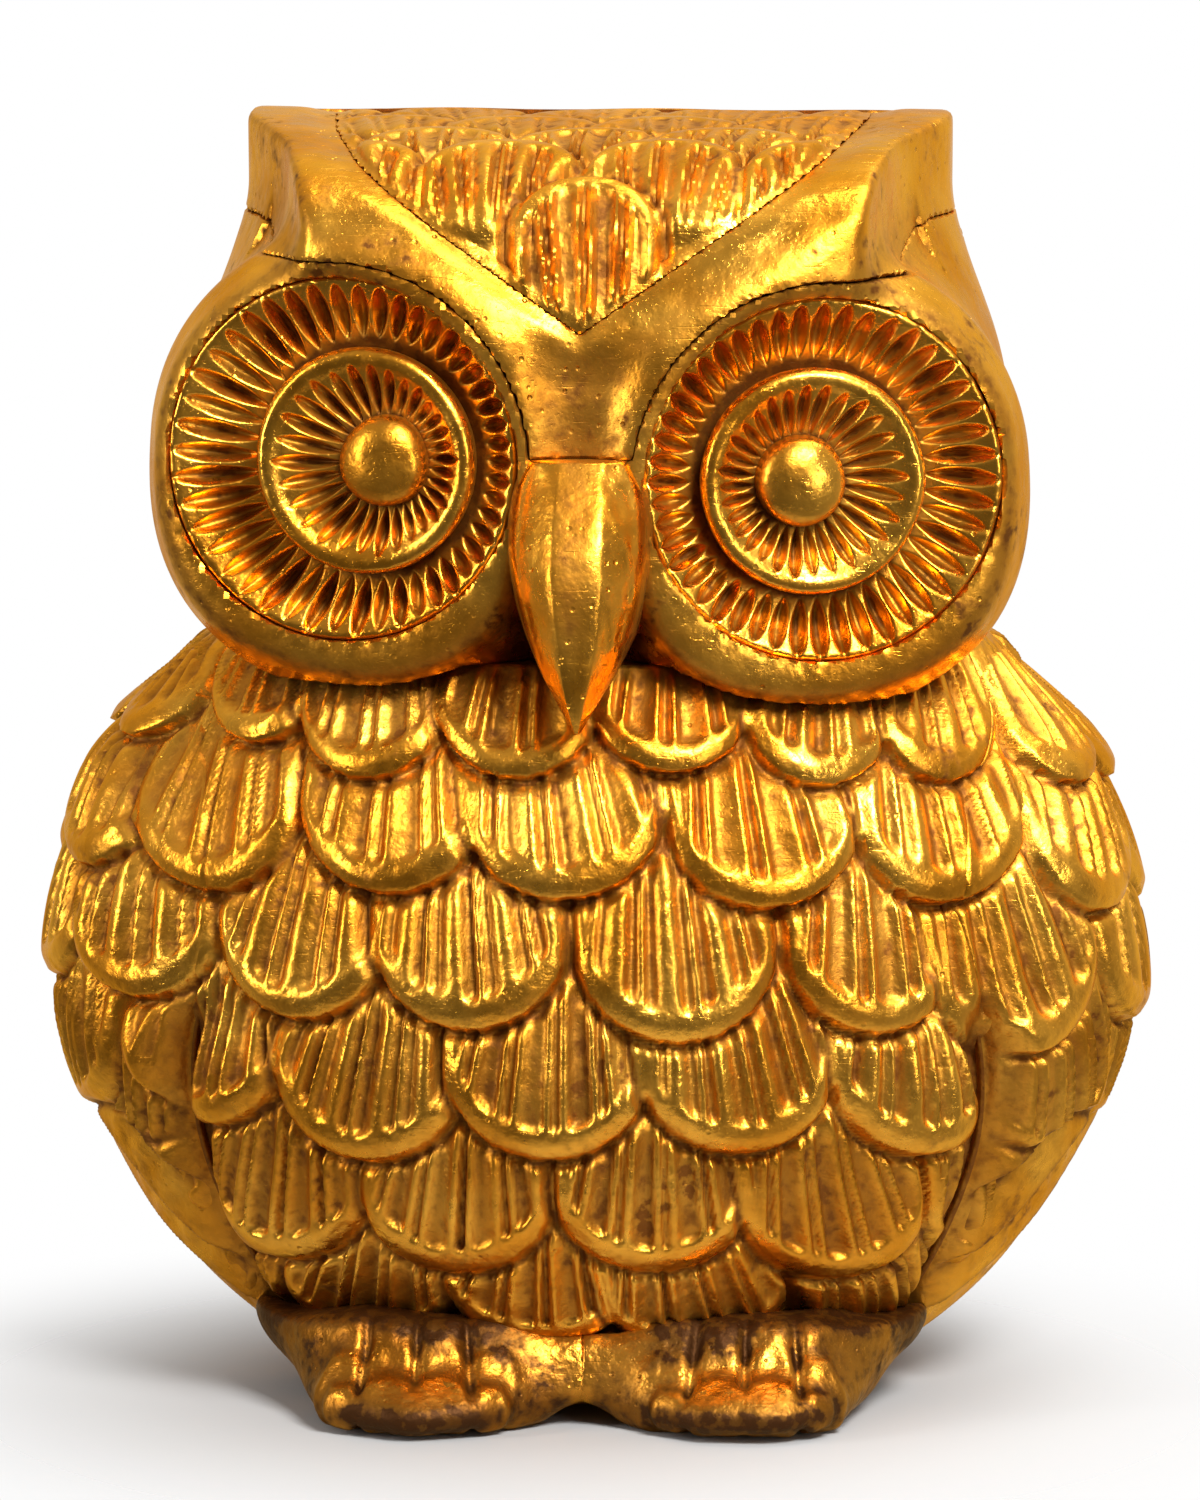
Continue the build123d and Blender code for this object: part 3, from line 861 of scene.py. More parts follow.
@dataclass(frozen=True)
class Egg:
    """The egg that body or head follows, in millimetres."""

    half_width: float
    half_depth: float
    rise: float
    drop: float
    mid_z: float

    def share(self, z: Array) -> Array:
        """How wide the egg is at a height, as a share of its widest."""
        half = np.where(z > self.mid_z, self.rise, self.drop)
        return np.sqrt(np.clip(1 - ((z - self.mid_z) / half) ** 2, 0, 1))

    def point(self, turn: Array, z: Array, grow: Array = 0.0) -> Array:
        """A point of the egg.

        Args:
            turn: Angle from straight ahead towards the owl's left, in radians.
            z: Height.
            grow: How far outside the egg the point lies.

        Returns:
            The points, with x, y, z last.
        """
        share = self.share(z)
        x = (self.half_width * share + grow) * np.sin(turn)
        y = -(self.half_depth * share + grow) * np.cos(turn)
        return np.stack(np.broadcast_arrays(x, y, z), axis=-1)

    def turn_at(self, y: Array, z: Array) -> Array:
        """The angle at which the egg's surface has this y at this height."""
        return np.arccos(np.clip(-y / np.maximum(self.half_depth * self.share(z), 1e-6), -1, 1))

    def spread(self, turn: Array, z: Array) -> tuple[Array, Array]:
        """Distances along the surface from straight ahead and from the widest level.

        Args:
            turn: Angles from straight ahead.
            z: Heights.

        Returns:
            How far round and how far up each place lies.
        """
        turns = np.linspace(-math.pi, math.pi, 721)
        steps = np.hypot(self.half_width * np.cos(turns), self.half_depth * np.sin(turns))
        arc = np.concatenate([[0], np.cumsum((steps[1:] + steps[:-1]) / 2 * np.diff(turns))])
        arc -= np.interp(0, turns, arc)
        levels = np.linspace(self.mid_z - 0.999 * self.drop, self.mid_z + 0.999 * self.rise, 800)
        mean = (self.half_width + self.half_depth) / 2
        run = np.hypot(np.diff(levels), mean * np.diff(self.share(levels)))
        climb = np.concatenate([[0], np.cumsum(run)])
        climb -= np.interp(self.mid_z, levels, climb)
        return self.share(z) * np.interp(turn, turns, arc), np.interp(z, levels, climb)

    def distance(self, points: Array, grow: float = 0.0) -> Array:
        """Signed distance to the egg.

        Args:
            points: The points.
            grow: How much larger than itself the egg is taken.

        Returns:
            The distance at each point, negative inside.
        """
        z = points[..., 2] - self.mid_z
        tall = np.where(z > 0, self.rise, self.drop) + grow
        wide = np.full(tall.shape, self.half_width + grow)
        deep = np.full(tall.shape, self.half_depth + grow)
        axes = np.stack([wide, deep, tall], axis=-1)
        scaled = np.stack([points[..., 0], points[..., 1], z], axis=-1) / axes
        radius = np.linalg.norm(scaled, axis=-1)
        return radius * (radius - 1) / np.maximum(np.linalg.norm(scaled / axes, axis=-1), 1e-6)


def body_egg() -> Egg:
    """The body's egg, measured from the frame."""
    low, high = node_box("breast_shell")
    return Egg(half_width=high[0], half_depth=-low[1], rise=35.0, drop=32.0, mid_z=28.0)


def level_to_climb(egg: Egg, z: float) -> float:
    """Where a height lies along the egg's surface, measured from its widest level."""
    return float(egg.spread(np.array(0.0), np.array(float(z)))[1])


# --- Body, wings and tail --------------------------------------------------------------------------


def rounded(share: Array) -> Array:
    """Rises from 0 to 1 like a quarter circle as share goes from 0 to 1."""
    return np.sqrt(np.clip(1 - (1 - np.clip(share, 0, 1)) ** 2, 0, 1))


def with_dark_back(hollow: Array, inner: Array) -> Array:
    """Shelter of a shell's outer points, followed by full shelter for its inner ones."""
    return np.concatenate([hollow.ravel(), np.ones(inner.shape[0] * inner.shape[1])])


@dataclass
class WingOutline:
    """The leaf that a wing covers, as front and back edges over height."""

    tip_z: float = 1.6
    shoulder_z: float = 49.6

    def edges(self, z: Array) -> tuple[Array, Array]:
        """The wing's front and back edge.

        Args:
            z: Heights.

        Returns:
            The y of either edge at each height.
        """
        front = [(1.6, -6.0), (6.0, -10.5), (12.0, -14.0), (19.0, -16.2), (25.0, -18.0), (31.0, -19.8)]
        front += [(38.0, -19.0), (45.0, -13.0), (49.6, -6.0)]
        back = [(1.6, 8.5), (6.0, 12.5), (14.0, 17.0), (26.0, 19.0), (36.0, 17.0), (44.0, 11.5), (49.6, 4.0)]
        front_curve, back_curve = (smooth_curve(knots, closed=False) for knots in (front, back))
        return np.interp(z, *front_curve.T), np.interp(z, *back_curve.T)

    def depth_inside(self, y: Array, z: Array) -> Array:
        """How far inside the wing's edge a place on the flank is.

        Args:
            y: Places along the flank.
            z: Heights.

        Returns:
            The depth, negative outside the wing.
        """
        front, back = self.edges(z)
        sides = blend_min(y - front, back - y, 1.5)
        return blend_min(sides * 0.9, blend_min(z - self.tip_z, self.shoulder_z - z, 1.0), 1.5)


@dataclass
class Body:
    """Breast, back, wings and tail, which all lie on one egg and share its feathers."""

    workshop: Workshop
    egg: Egg = field(default_factory=body_egg)
    wall: float = 2.6
    sink: float = 1.1
    neck_share: float = 0.82
    primaries_below: float = 17.5
    hem_z: float = 5.4
    ratio: int = 4

    def __post_init__(self) -> None:
        """Reads the heights of neck and base plate and lays out the feathers."""
        low, high = node_box("breast_shell")
        self.base_z, self.neck_z = low[2], high[2]
        wing_high = node_box("wing_left")[1]
        self.wing_thickness = wing_high[0] - self.egg.half_width
        self.outline = WingOutline()
        neck, shoulder, chest, belly, flank, hem = (
            level_to_climb(self.egg, tip_z) for tip_z in (44.0, 36.0, 27.6, 19.0, 10.6, 4.6)
        )
        rows = [
            FeatherRow(neck, pitch=10.6, shift=-4.6, half_width=5.7, length=13, flutes=6),
            FeatherRow(shoulder, shift=0.0, half_width=7.1),
            FeatherRow(chest, shift=-6.9, half_width=7.0),
            FeatherRow(belly, shift=-2.4, half_width=7.0, flutes=8),
            FeatherRow(flank, shift=-8.6, half_width=6.8, flutes=8),
            FeatherRow(hem, shift=-3.6, pitch=12.6, half_width=6.6, length=14, flutes=8),
        ]
        self.front = Feathers(rows, span=60, seed=7, slopes=(0.02, 0.075))
        self.rear = Feathers(rows, span=60, seed=19, jitter=0.35)

    def _primaries(self, y: Array, z: Array) -> tuple[Array, Array]:
        """Long flight feathers that run together towards the wing's tip.

        Args:
            y: Places on the flank.
            z: Heights.

        Returns:
            Their height and how hollow each place is.
        """
        count = (0.55 * z - 0.75 * y + 0.25 * np.sin(z * 0.7)) / 4.6
        share = count - np.floor(count)
        step = ramp(0.0, 0.10, share)
        barbs = np.sin(2.6 * z + 1.5 * y)
        height = 1.6 * (1 - share) * step + 0.10 * barbs * ramp(0.2, 0.5, share)
        hollow = np.exp(-((share / 0.12) ** 2)) + np.exp(-(((share - 1) / 0.20) ** 2))
        return height, np.clip(hollow, 0, 1) * 0.9 + 0.12

    def _surface(self, half: Feathers, turn: Array, z: Array, ahead: float) -> tuple[Array, Array]:
        """Relief of one half of the body.

        Args:
            half: The feathers of that half.
            turn: Angles from straight ahead.
            z: Heights.
            ahead: The angle that the feathers are centred on.

        Returns:
            How far the surface stands out of the egg, and how hollow it is.
        """
        relative = (turn - ahead + math.pi) % (2 * math.pi) - math.pi
        across, along = self.egg.spread(relative, z)
        height, hollow = half.relief(across, along)
        y = self.egg.point(turn, z)[..., 1]
        beside = self.outline.depth_inside(y, z)
        ditch = np.exp(-(((beside + 0.3) / 0.8) ** 2)) * ramp(29, 24, z)
        covered = ramp(1.0, 3.5, beside)
        height = height + 0.7 * np.exp(-(((beside + 3.2) / 2.0) ** 2)) * ramp(28, 22, z) * ramp(4, 8, z)
        height = height * (1 - 0.8 * ditch) * (1 - covered) - 1.1 * ditch
        fade = ramp(self.neck_z, self.neck_z - 1.0, z) * ramp(self.hem_z - 0.9, self.hem_z, z)
        hollow = np.maximum(hollow, np.exp(-(((z - self.hem_z + 0.6) / 0.7) ** 2)))
        out = (height - self.sink) * fade - 0.4 * (1 - fade)
        return out, np.clip(hollow + ditch, 0, 1)

    def _half_shell(
        self, name: str, node: str, half: Feathers, ahead: float, columns: int, rows: int
    ) -> None:
        """Builds breast or back as a shell with a coarser inside.

        Args:
            name: The piece's name.
            node: The CAD node that it replaces.
            half: The feathers that it carries.
            ahead: The angle that it is centred on.
            columns: Spaces round its half turn.
            rows: Spaces from hem to neck.
        """
        ledge = 8
        turns = ahead + np.linspace(-math.pi / 2, math.pi / 2, columns + 1)
        lowest, highest = (level_to_climb(self.egg, z) for z in (self.base_z, self.neck_z))
        climbs = np.linspace(lowest, highest, rows - ledge + 1)
        levels = np.linspace(self.base_z, self.neck_z, 400)
        heights = np.interp(climbs, self.egg.spread(np.zeros(400), levels)[1], levels)
        turn, z = np.meshgrid(turns, heights, indexing="ij")
        out, hollow = self._surface(half, turn, z, ahead)
        outer = self.egg.point(turn, z, out)
        shares = np.linspace(1, self.neck_share, ledge + 1)[1:]
        rim = outer[:, -1:, :] * np.stack([shares, shares, np.ones(ledge)], axis=-1)[None]
        outer = np.concatenate([outer, rim], axis=1)
        hollow = np.concatenate([hollow, np.full((columns + 1, ledge), 0.7)], axis=1)
        few = rows // self.ratio
        inner_turn, inner_z = np.meshgrid(
            turns[:: self.ratio], np.linspace(self.base_z, self.neck_z - self.wall, few), indexing="ij"
        )
        inner = self.egg.point(inner_turn, inner_z, -self.wall)
        collar = outer[:: self.ratio, -1:, :] - np.array([0, 0, self.wall])
        inner = np.concatenate([inner, collar], axis=1)
        points, faces = shell(outer, inner, self.ratio)
        self.workshop.fit(make_piece(name, points, faces, with_dark_back(hollow, inner)), node)

    def _wing(self, side: Side) -> None:
        """Builds one wing: scalloped coverts above, long primaries below.

        Args:
            side: Which wing.
        """
        columns, rows = 200, 236
        levels = np.linspace(self.outline.tip_z, self.outline.shoulder_z, rows + 1)
        front, back = self.outline.edges(levels)
        share, z = np.meshgrid(np.linspace(0, 1, columns + 1), levels, indexing="ij")
        y = front + share * (back - front)
        turn = self.egg.turn_at(y, z)
        inside = self.outline.depth_inside(y, z)
        upper_half = ramp(23, 30, z)
        lower_leaf = rounded(inside / 2.2) * (0.25 + 0.75 * ramp(13, 27, z))
        thick = lower_leaf * (1 - upper_half) + ramp(0, 8, inside) * upper_half
        thick = thick * (self.wing_thickness - 0.45)
        across, along = self.egg.spread(turn, z)
        mark, hollow = self.front.relief(across * side.value, along)
        long_mark, long_hollow = self._primaries(y, z)
        edge_z = self.primaries_below + 1.6 * np.abs(np.sin((y + 3) * math.pi / 10.5))
        upper = ramp(-0.25, 0.25, z - edge_z)
        gap = np.exp(-(((z - edge_z + 0.35) / 0.4) ** 2))
        mark = mark * upper + (long_mark - 0.35 * gap) * (1 - upper)
        hollow = np.clip(hollow * upper + long_hollow * (1 - upper) + 0.8 * gap, 0, 1)
        rim = ramp(0.0, 0.4 + 1.2 * (1 - upper_half), inside)
        lean = 0.5 * ramp(0, 8, inside) if side is Side.RIGHT else 0.0
        grow = thick + lean - 1.0 + (mark + 0.03) * rim - 0.5 * ramp(0.4, 0.0, inside)
        outer = self.egg.point(turn * side.value, z, grow)
        coarse = np.s_[:: self.ratio, :: self.ratio]
        inner = self.egg.point(turn[coarse] * side.value, z[coarse], -1.0)
        points, faces = shell(outer, inner, self.ratio)
        shade = with_dark_back(hollow * rim + 0.6 * (1 - rim), inner)
        piece = make_piece(f"feathered_wing_{side.word}", points, faces, shade)
        self.workshop.fit(piece, f"wing_{side.word}")

    def _tail(self) -> None:
        """Builds the tail: a fan of long feathers on the back."""
        low, high = node_box("tail_fan")
        thickness = high[1] - self.egg.half_depth - 0.1
        columns, rows = 120, 160
        top = high[2]
        z = np.linspace(low[2] + 0.05, top, rows + 1)
        width = high[0] * (0.72 + 0.28 * ramp(top, low[2], z)) * np.sqrt(ramp(top + 0.6, top - 5, z) + 0.02)
        share, z = np.meshgrid(np.linspace(-1, 1, columns + 1), z, indexing="ij")
        x = share * width
        sine = x / np.maximum(self.egg.half_width * self.egg.share(z), 1e-6)
        turn = math.pi - np.arcsin(np.clip(sine, -1, 1))
        inside = blend_min((1 - np.abs(share)) * width, top - z, 1.0)
        thick = rounded(inside / 2.0) * min(thickness, 3.0)
        count = np.abs(x) / 4.1 + 0.5
        part = count - np.floor(count)
        barbs = np.sin(z * 3.1 - 9 * np.abs(part - 0.5))
        mark = 0.5 * (1 - part) - 0.35 * np.exp(-(((part - 0.5) / 0.05) ** 2)) + 0.07 * barbs
        hollow = np.exp(-((part / 0.10) ** 2)) + np.exp(-(((part - 1) / 0.06) ** 2)) + 0.15
        rim = ramp(0.0, 1.4, inside)
        outer = self.egg.point(turn, z, thick - 0.2 + mark * rim)
        coarse = np.s_[:: self.ratio, :: self.ratio]
        inner = self.egg.point(turn[coarse], z[coarse], -1.0)
        points, faces = shell(outer, inner, self.ratio)
        shade = with_dark_back(np.clip(hollow, 0, 1), inner)
        self.workshop.fit(make_piece("tail_feathers", points, faces, shade), "tail_fan")

    def build(self) -> None:
        """Builds every piece of the body."""
        self._half_shell("breast_feathers", "breast_shell", self.front, 0.0, 440, 200)
        self._half_shell("back_feathers", "back_shell", self.rear, math.pi, 360, 180)
        for side in Side:
            self._wing(side)
        self._tail()


# --- Head ------------------------------------------------------------------------------------------


@dataclass
class EyeMount:
    """Where one eye sits: the mouth of its drum and the axis that it looks along."""

    side: Side
    yaw: float = math.radians(13)
    thickness: float = 3.4

    def __post_init__(self) -> None:
        """Reads the surround's place and size from the frame."""
        low, high = node_box(f"eye_surround_{self.side.word}")
        self.radius = (high[2] - low[2]) / 2
        hand = self.side.value
        self.outward = np.array([hand * math.sin(self.yaw), -math.cos(self.yaw), 0.0])
        self.across = np.array([math.cos(self.yaw), hand * math.sin(self.yaw), 0.0])
        self.mouth = (low + high) / 2 + self.outward * self.thickness / 2

    def inward(self, node: str) -> float:
        """How far a node's middle lies along the eye's sideways axis from the surround's middle."""
        low, high = node_box(node)
        return float(((low + high) / 2 - self.mouth) @ self.across)

    def place(self, shift: float) -> Matrix:
        """The turn and shift that put a piece made about +Z in the mouth, in metres.

        Args:
            shift: How far along the eye's sideways axis the piece sits, in millimetres.

        Returns:
            The transform.
        """
        columns = [self.across, np.cross(self.outward, self.across), self.outward]
        matrix = Matrix(np.array(columns).T.tolist()).to_4x4()
        matrix.translation = Vector((self.mouth + self.across * shift) * MM)
        return matrix

    def measure(self, points: Array) -> tuple[Array, Array]:
        """Measures points against the eye's axis.

        Args:
            points: The points.

        Returns:
            Each point's distance from the axis, and how far it lies out of the mouth.
        """
        offset = points - self.mouth
        out = offset @ self.outward
        return np.linalg.norm(offset - out[..., None] * self.outward, axis=-1), out


@dataclass
class HeadForm:
    """The one flowing form that head casting, brow crown and crown plate are cut from."""

    rim: float = 1.1
    cheek: float = 1.7
    jowl: float = 1.5
    drum_length: float = 20.0
    joint: float = 0.035
    plate: float = 2.0
    collar: float = 0.9

    def __post_init__(self) -> None:
        """Measures the head in the frame and draws the crown's outlines."""
        crown_low, crown_high = node_box("brow_crown")
        head_high = node_box("head_shell")[1]
        plate_low, plate_high = node_box("crown_plate")
        beak_high = node_box("beak")[1]
        self.neck_z = node_box("breast_shell")[1][2]
        self.seam_z, self.top_z = head_high[2], crown_high[2]
        self.eyes = {side: EyeMount(side) for side in Side}
        eye_z = self.eyes[Side.RIGHT].mouth[2]
        self.egg = Egg(27.4, 22.0, 26.0, 26.0, eye_z)
        self.body = body_egg()
        self.bridge_z = beak_high[2]
        self.apex_z = plate_low[2]
        self.plate_x, self.plate_z = plate_high[0], self.top_z - 0.6
        ear, front = crown_high[0], crown_low[1]
        top = self.top_z
        brow = [(front + 0.4, self.bridge_z - 3), (front + 1.0, self.bridge_z + 5), (front + 2.6, top - 9.2)]
        roof = [(front + 5.2, top - 4.6), (front + 10.5, top - 2.0), (front + 18, top - 0.75)]
        roof += [(front + 26, top), (6.0, top - 0.1), (12.0, top - 2.2)]
        nape = [(17.0, top - 7.0), (19.5, top - 14), (19.0, top - 26), (0.0, top - 30)]
        self.profile = Outline(smooth_curve(brow + roof + nape))
        half = [(ear, 4.0), (ear, -1.2), (21.0, -9.0), (19.2, -17.0), (18.2, -22.6), (9.0, front + 1.0)]
        back = [(-17.0, 13.5), (0.0, 20.0), (17.0, 13.5)]
        self.plan = Outline(smooth_corners(half + [(-x, y) for x, y in reversed(half)] + back))
        slant = (self.plate_z - self.apex_z) / self.plate_x
        self.vee_normal = np.array([slant, -1.0]) / math.hypot(slant, 1.0)

    def vee(self, points: Array) -> Array:
        """Signed distance to the V that the feathered plate fills.

        Args:
            points: The points.

        Returns:
            The distance at each point, negative inside.
        """
        sides = np.abs(points[..., 0]) * self.vee_normal[0]
        sides = sides + (points[..., 2] - self.apex_z) * self.vee_normal[1]
        return np.maximum(sides, points[..., 1] - 6.0)

    def whole(self, points: Array) -> Array:
        """Signed distance to the whole head.

        Args:
            points: The points.

        Returns:
            The distance at each point, negative inside.
        """
        x, y, z = points[..., 0], points[..., 1], points[..., 2]
        head = blend_max(self.egg.distance(points), z - self.seam_z - 1.0, 3.0)
        for eye in self.eyes.values():
            radius, out = eye.measure(points)
            level = (points[..., 2] - eye.mouth[2]) / eye.radius
            reach = eye.radius + self.rim + self.cheek * ramp(0, -5, out)
            reach = reach + self.jowl * ramp(0.1, -1.0, level)
            inner = ramp(4.0, -9.0, (points - eye.mouth) @ eye.across * eye.side.value)
            drum = blend_max(radius - reach - 0.7 * inner, out - 0.25 - 0.75 * inner, 2.0) * 0.9
            drum = blend_max(drum, -out - self.drum_length, 4.0)
            head = blend_min(head, drum, 3.5)
        crown = blend_max(self.profile.distance(y, z), self.plan.distance(x, y), 0.7)
        low = np.minimum(z - self.seam_z + 3, 0)
        wedge = np.abs(x) - (5.0 + 1.15 * np.maximum(z - self.bridge_z, 0))
        crown = blend_max(crown, np.where(y < -8, wedge * 0.7, -low - 2), 2.0)
        for side, eye in self.eyes.items():
            radius, out = eye.measure(points)
            crown = blend_max(crown, -np.maximum(radius - eye.radius - 0.8, -out - 0.6), 1.2)
            hollow = np.hypot(x - side.value * 32.2, y + 14.0) - 12.0
            crown = blend_max(crown, -hollow, 0.8)
        form = blend_min(head, crown, 2.6)
        for eye in self.eyes.values():
            radius, out = eye.measure(points)
            form = np.maximum(form, -np.maximum(radius - eye.radius, -out - eye.thickness))
        valley = np.exp(-((x / 3.6) ** 2)) * ramp(self.apex_z + 1.0, self.apex_z - 3.5, z) * (y < -10)
        form = form + 1.0 * valley
        groove = np.abs(self.vee(points)) - 0.20
        lip = 0.30 * np.exp(-((np.clip(groove, 0, None) / 0.5) ** 2)) * (y < 6)
        return form + lip + 0.10 * lumps(points, 7.0, 5)

    def crown_region(self, points: Array) -> Array:
        """Tells the two sides of the seam between head casting and crown apart.

        Args:
            points: The points.

        Returns:
            About the distance to the seam, negative above it.
        """
        x, y, z = points[..., 0], points[..., 1], points[..., 2]
        nearer = np.where(x > 0, self.eyes[Side.LEFT].mouth[2], self.eyes[Side.RIGHT].mouth[2])
        eye = self.eyes[Side.LEFT]
        ring_top = nearer + eye.radius + 1.0
        seam = ring_top + (self.seam_z + 0.6 - ring_top) * ramp(-17, -5, y)
        front = np.maximum(self.bridge_z - z, np.maximum(np.abs(x) - eye.mouth[0], y + 12))
        for eye in self.eyes.values():
            front = np.maximum(front, eye.radius + 1.0 - eye.measure(points)[0])
        return np.minimum(seam - z, front)

    def head_piece(self, points: Array) -> Array:
        """Signed distance to the head casting.

        Args:
            points: The points.

        Returns:
            The distance at each point, negative inside.
        """
        below = np.maximum(self.whole(points), self.joint - self.crown_region(points))
        neck = np.minimum(self.neck_z - points[..., 2], self.collar - self.body.distance(points))
        below = np.maximum(below, neck)
        return np.maximum(below, -self.core(points))

    def core(self, points: Array) -> Array:
        """Signed distance to the head's hollow inside."""
        inside = self.egg.distance(points, -4.5)
        return np.maximum(inside, points[..., 2] - self.top_z + 7)

    def plate_piece(self, points: Array) -> Array:
        """Signed distance to the feathered plate.

        Args:
            points: The points.

        Returns:
            The distance at each point, negative inside.
        """
        whole = self.whole(points)
        layer = np.maximum(whole, -whole - self.plate)
        layer = np.maximum(layer, self.vee(points) + self.joint)
        return np.maximum(layer, self.crown_region(points))

    def crown_piece(self, points: Array) -> Array:
        """Signed distance to the brow crown, with the bed of the plate cut out.

        Args:
            points: The points.

        Returns:
            The distance at each point, negative inside.
        """
        whole = self.whole(points)
        bed = np.maximum(-whole - self.plate - self.joint, self.vee(points))
        crown = np.maximum(whole, self.crown_region(points) + self.joint)
        return np.maximum(np.maximum(crown, -bed), -self.core(points))


def smooth_corners(points: Sequence[tuple[float, float]], steps: int = 4) -> Array:
    """Rounds a polygon lightly by cutting each corner near its tip.

    Args:
        points: The polygon's corners, in order.
        steps: How many points replace each corner.

    Returns:
        The rounded polygon.
    """
    corners = np.array(points, float)
    before, after = np.roll(corners, 1, axis=0), np.roll(corners, -1, axis=0)
    rounded = []
    for previous, corner, following in zip(before, corners, after):
        start = corner + (previous - corner) * min(0.25, 1.2 / np.linalg.norm(previous - corner))
        end = corner + (following - corner) * min(0.25, 1.2 / np.linalg.norm(following - corner))
        for share in np.linspace(0, 1, steps):
            rounded.append(start * (1 - share) ** 2 + corner * 2 * share * (1 - share) + end * share**2)
    return np.array(rounded)


@dataclass
class Head:
    """Head casting, brow crown and the feathered plate."""

    workshop: Workshop
    form: HeadForm = field(default_factory=HeadForm)
    cell: float = 0.34
    wide_cell: float = 0.405
    fine_cell: float = 0.18

    def _carved(self, name: str, node: str, distance: Distance, cell: float) -> tuple[Array, Array, Array]:
        """Carves one piece inside its CAD node's box.

        Args:
            name: The piece's name, for the log.
            node: The CAD node.
            distance: The piece's distance function.
            cell: The mesh's spacing.

        Returns:
            Points, faces and shelter.
        """
        low, high = node_box(node)
        points, faces = carve(distance, low - 2.0, high + 2.0, cell)
        hollow = sheltered(self.form.whole, points)
        log.info("%s carved from %d faces", name, len(faces))
        return points, faces, hollow

    def _head(self) -> None:
        """Builds the head casting, with feathers on the back of the head."""
        points, faces, hollow = self._carved("head_form", "head_shell", self.form.head_piece, self.wide_cell)
        egg = self.form.egg
        turn = np.arctan2(points[:, 0] / egg.half_width, points[:, 1] / egg.half_depth)
        across, along = egg.spread(turn, np.clip(points[:, 2], egg.mid_z - 25, egg.mid_z + 25))
        rows = [
            FeatherRow(tip, pitch=11, shift=5.5 * (n % 2), half_width=5.7, length=13)
            for n, tip in enumerate((-12.0, -5.5, 1.0, 7.5, 14.0))
        ]
        height, marks = Feathers(rows, span=45, seed=11, lift=1.1).relief(across, along)
        surface = ramp(-0.5, -0.1, self.form.whole(points)) * ramp(2, 6, points[:, 1])
        points = points + outward_of(self.form.whole, points) * ((height - 0.5) * surface)[:, None]
        hollow = np.maximum(hollow, marks * surface)
        self.workshop.fit(keep_crisp(make_piece("head_form", points, faces, hollow)), "head_shell")

    def _crown(self) -> None:
        """Builds the brow crown."""
        points, faces, hollow = self._carved("brow_form", "brow_crown", self.form.crown_piece, self.cell)
        x, y, z = points.T
        apex_z = self.form.apex_z
        bridge = np.exp(-((x / 4.0) ** 2)) * ramp(apex_z + 2, apex_z - 3, z) * (y < -10)
        hollow = np.maximum(hollow, 0.75 * bridge)
        self.workshop.fit(keep_crisp(make_piece("brow_form", points, faces, hollow)), "brow_crown")

    def _plate(self) -> None:
        """Builds the crown plate, whose feathers point back from the V's apex."""
        form = self.form
        cell = self.fine_cell
        points, faces, hollow = self._carved("crown_feathers", "crown_plate", form.plate_piece, cell)
        back = points[:, 1] + 1.14 * form.egg.half_depth
        climb = np.hypot(np.clip(back, 0, None), points[:, 2] - form.apex_z)
        rows = [
            FeatherRow(-11.6, pitch=60, half_width=5.0, length=14, flutes=7),
            FeatherRow(-17.4, pitch=10.4, shift=5.2, half_width=5.5, length=12, flutes=8),
            FeatherRow(-22.4, pitch=10.0, half_width=5.4, length=12, flutes=8),
            FeatherRow(-28.0, pitch=10.0, shift=5.0, half_width=5.4, length=12, flutes=8),
            FeatherRow(-33.6, pitch=10.0, half_width=5.4, length=12, flutes=8),
        ]
        feathers = Feathers(rows, span=20, seed=23, lift=1.15, flute_depth=0.6, rim=0.9, jitter=0.15)
        height, marks = feathers.relief(points[:, 0], -climb)
        top = ramp(-0.5, -0.1, form.whole(points)) * ramp(-0.1, -1.0, form.vee(points))
        flat = ramp(form.top_z - 1.8, form.top_z + 0.2, points[:, 2])
        raised = ((height - 0.55) * (1 - 0.7 * flat) - 0.3 * flat) * top
        points = points + outward_of(form.whole, points) * raised[:, None]
        hollow = np.maximum(0.6 * hollow, marks * top)
        self.workshop.fit(keep_crisp(make_piece("crown_feathers", points, faces, hollow)), "crown_plate")

    def build(self) -> None:
        """Builds the three pieces of the head."""
        self._head()
        self._crown()
        self._plate()


# --- Eyes ------------------------------------------------------------------------------------------


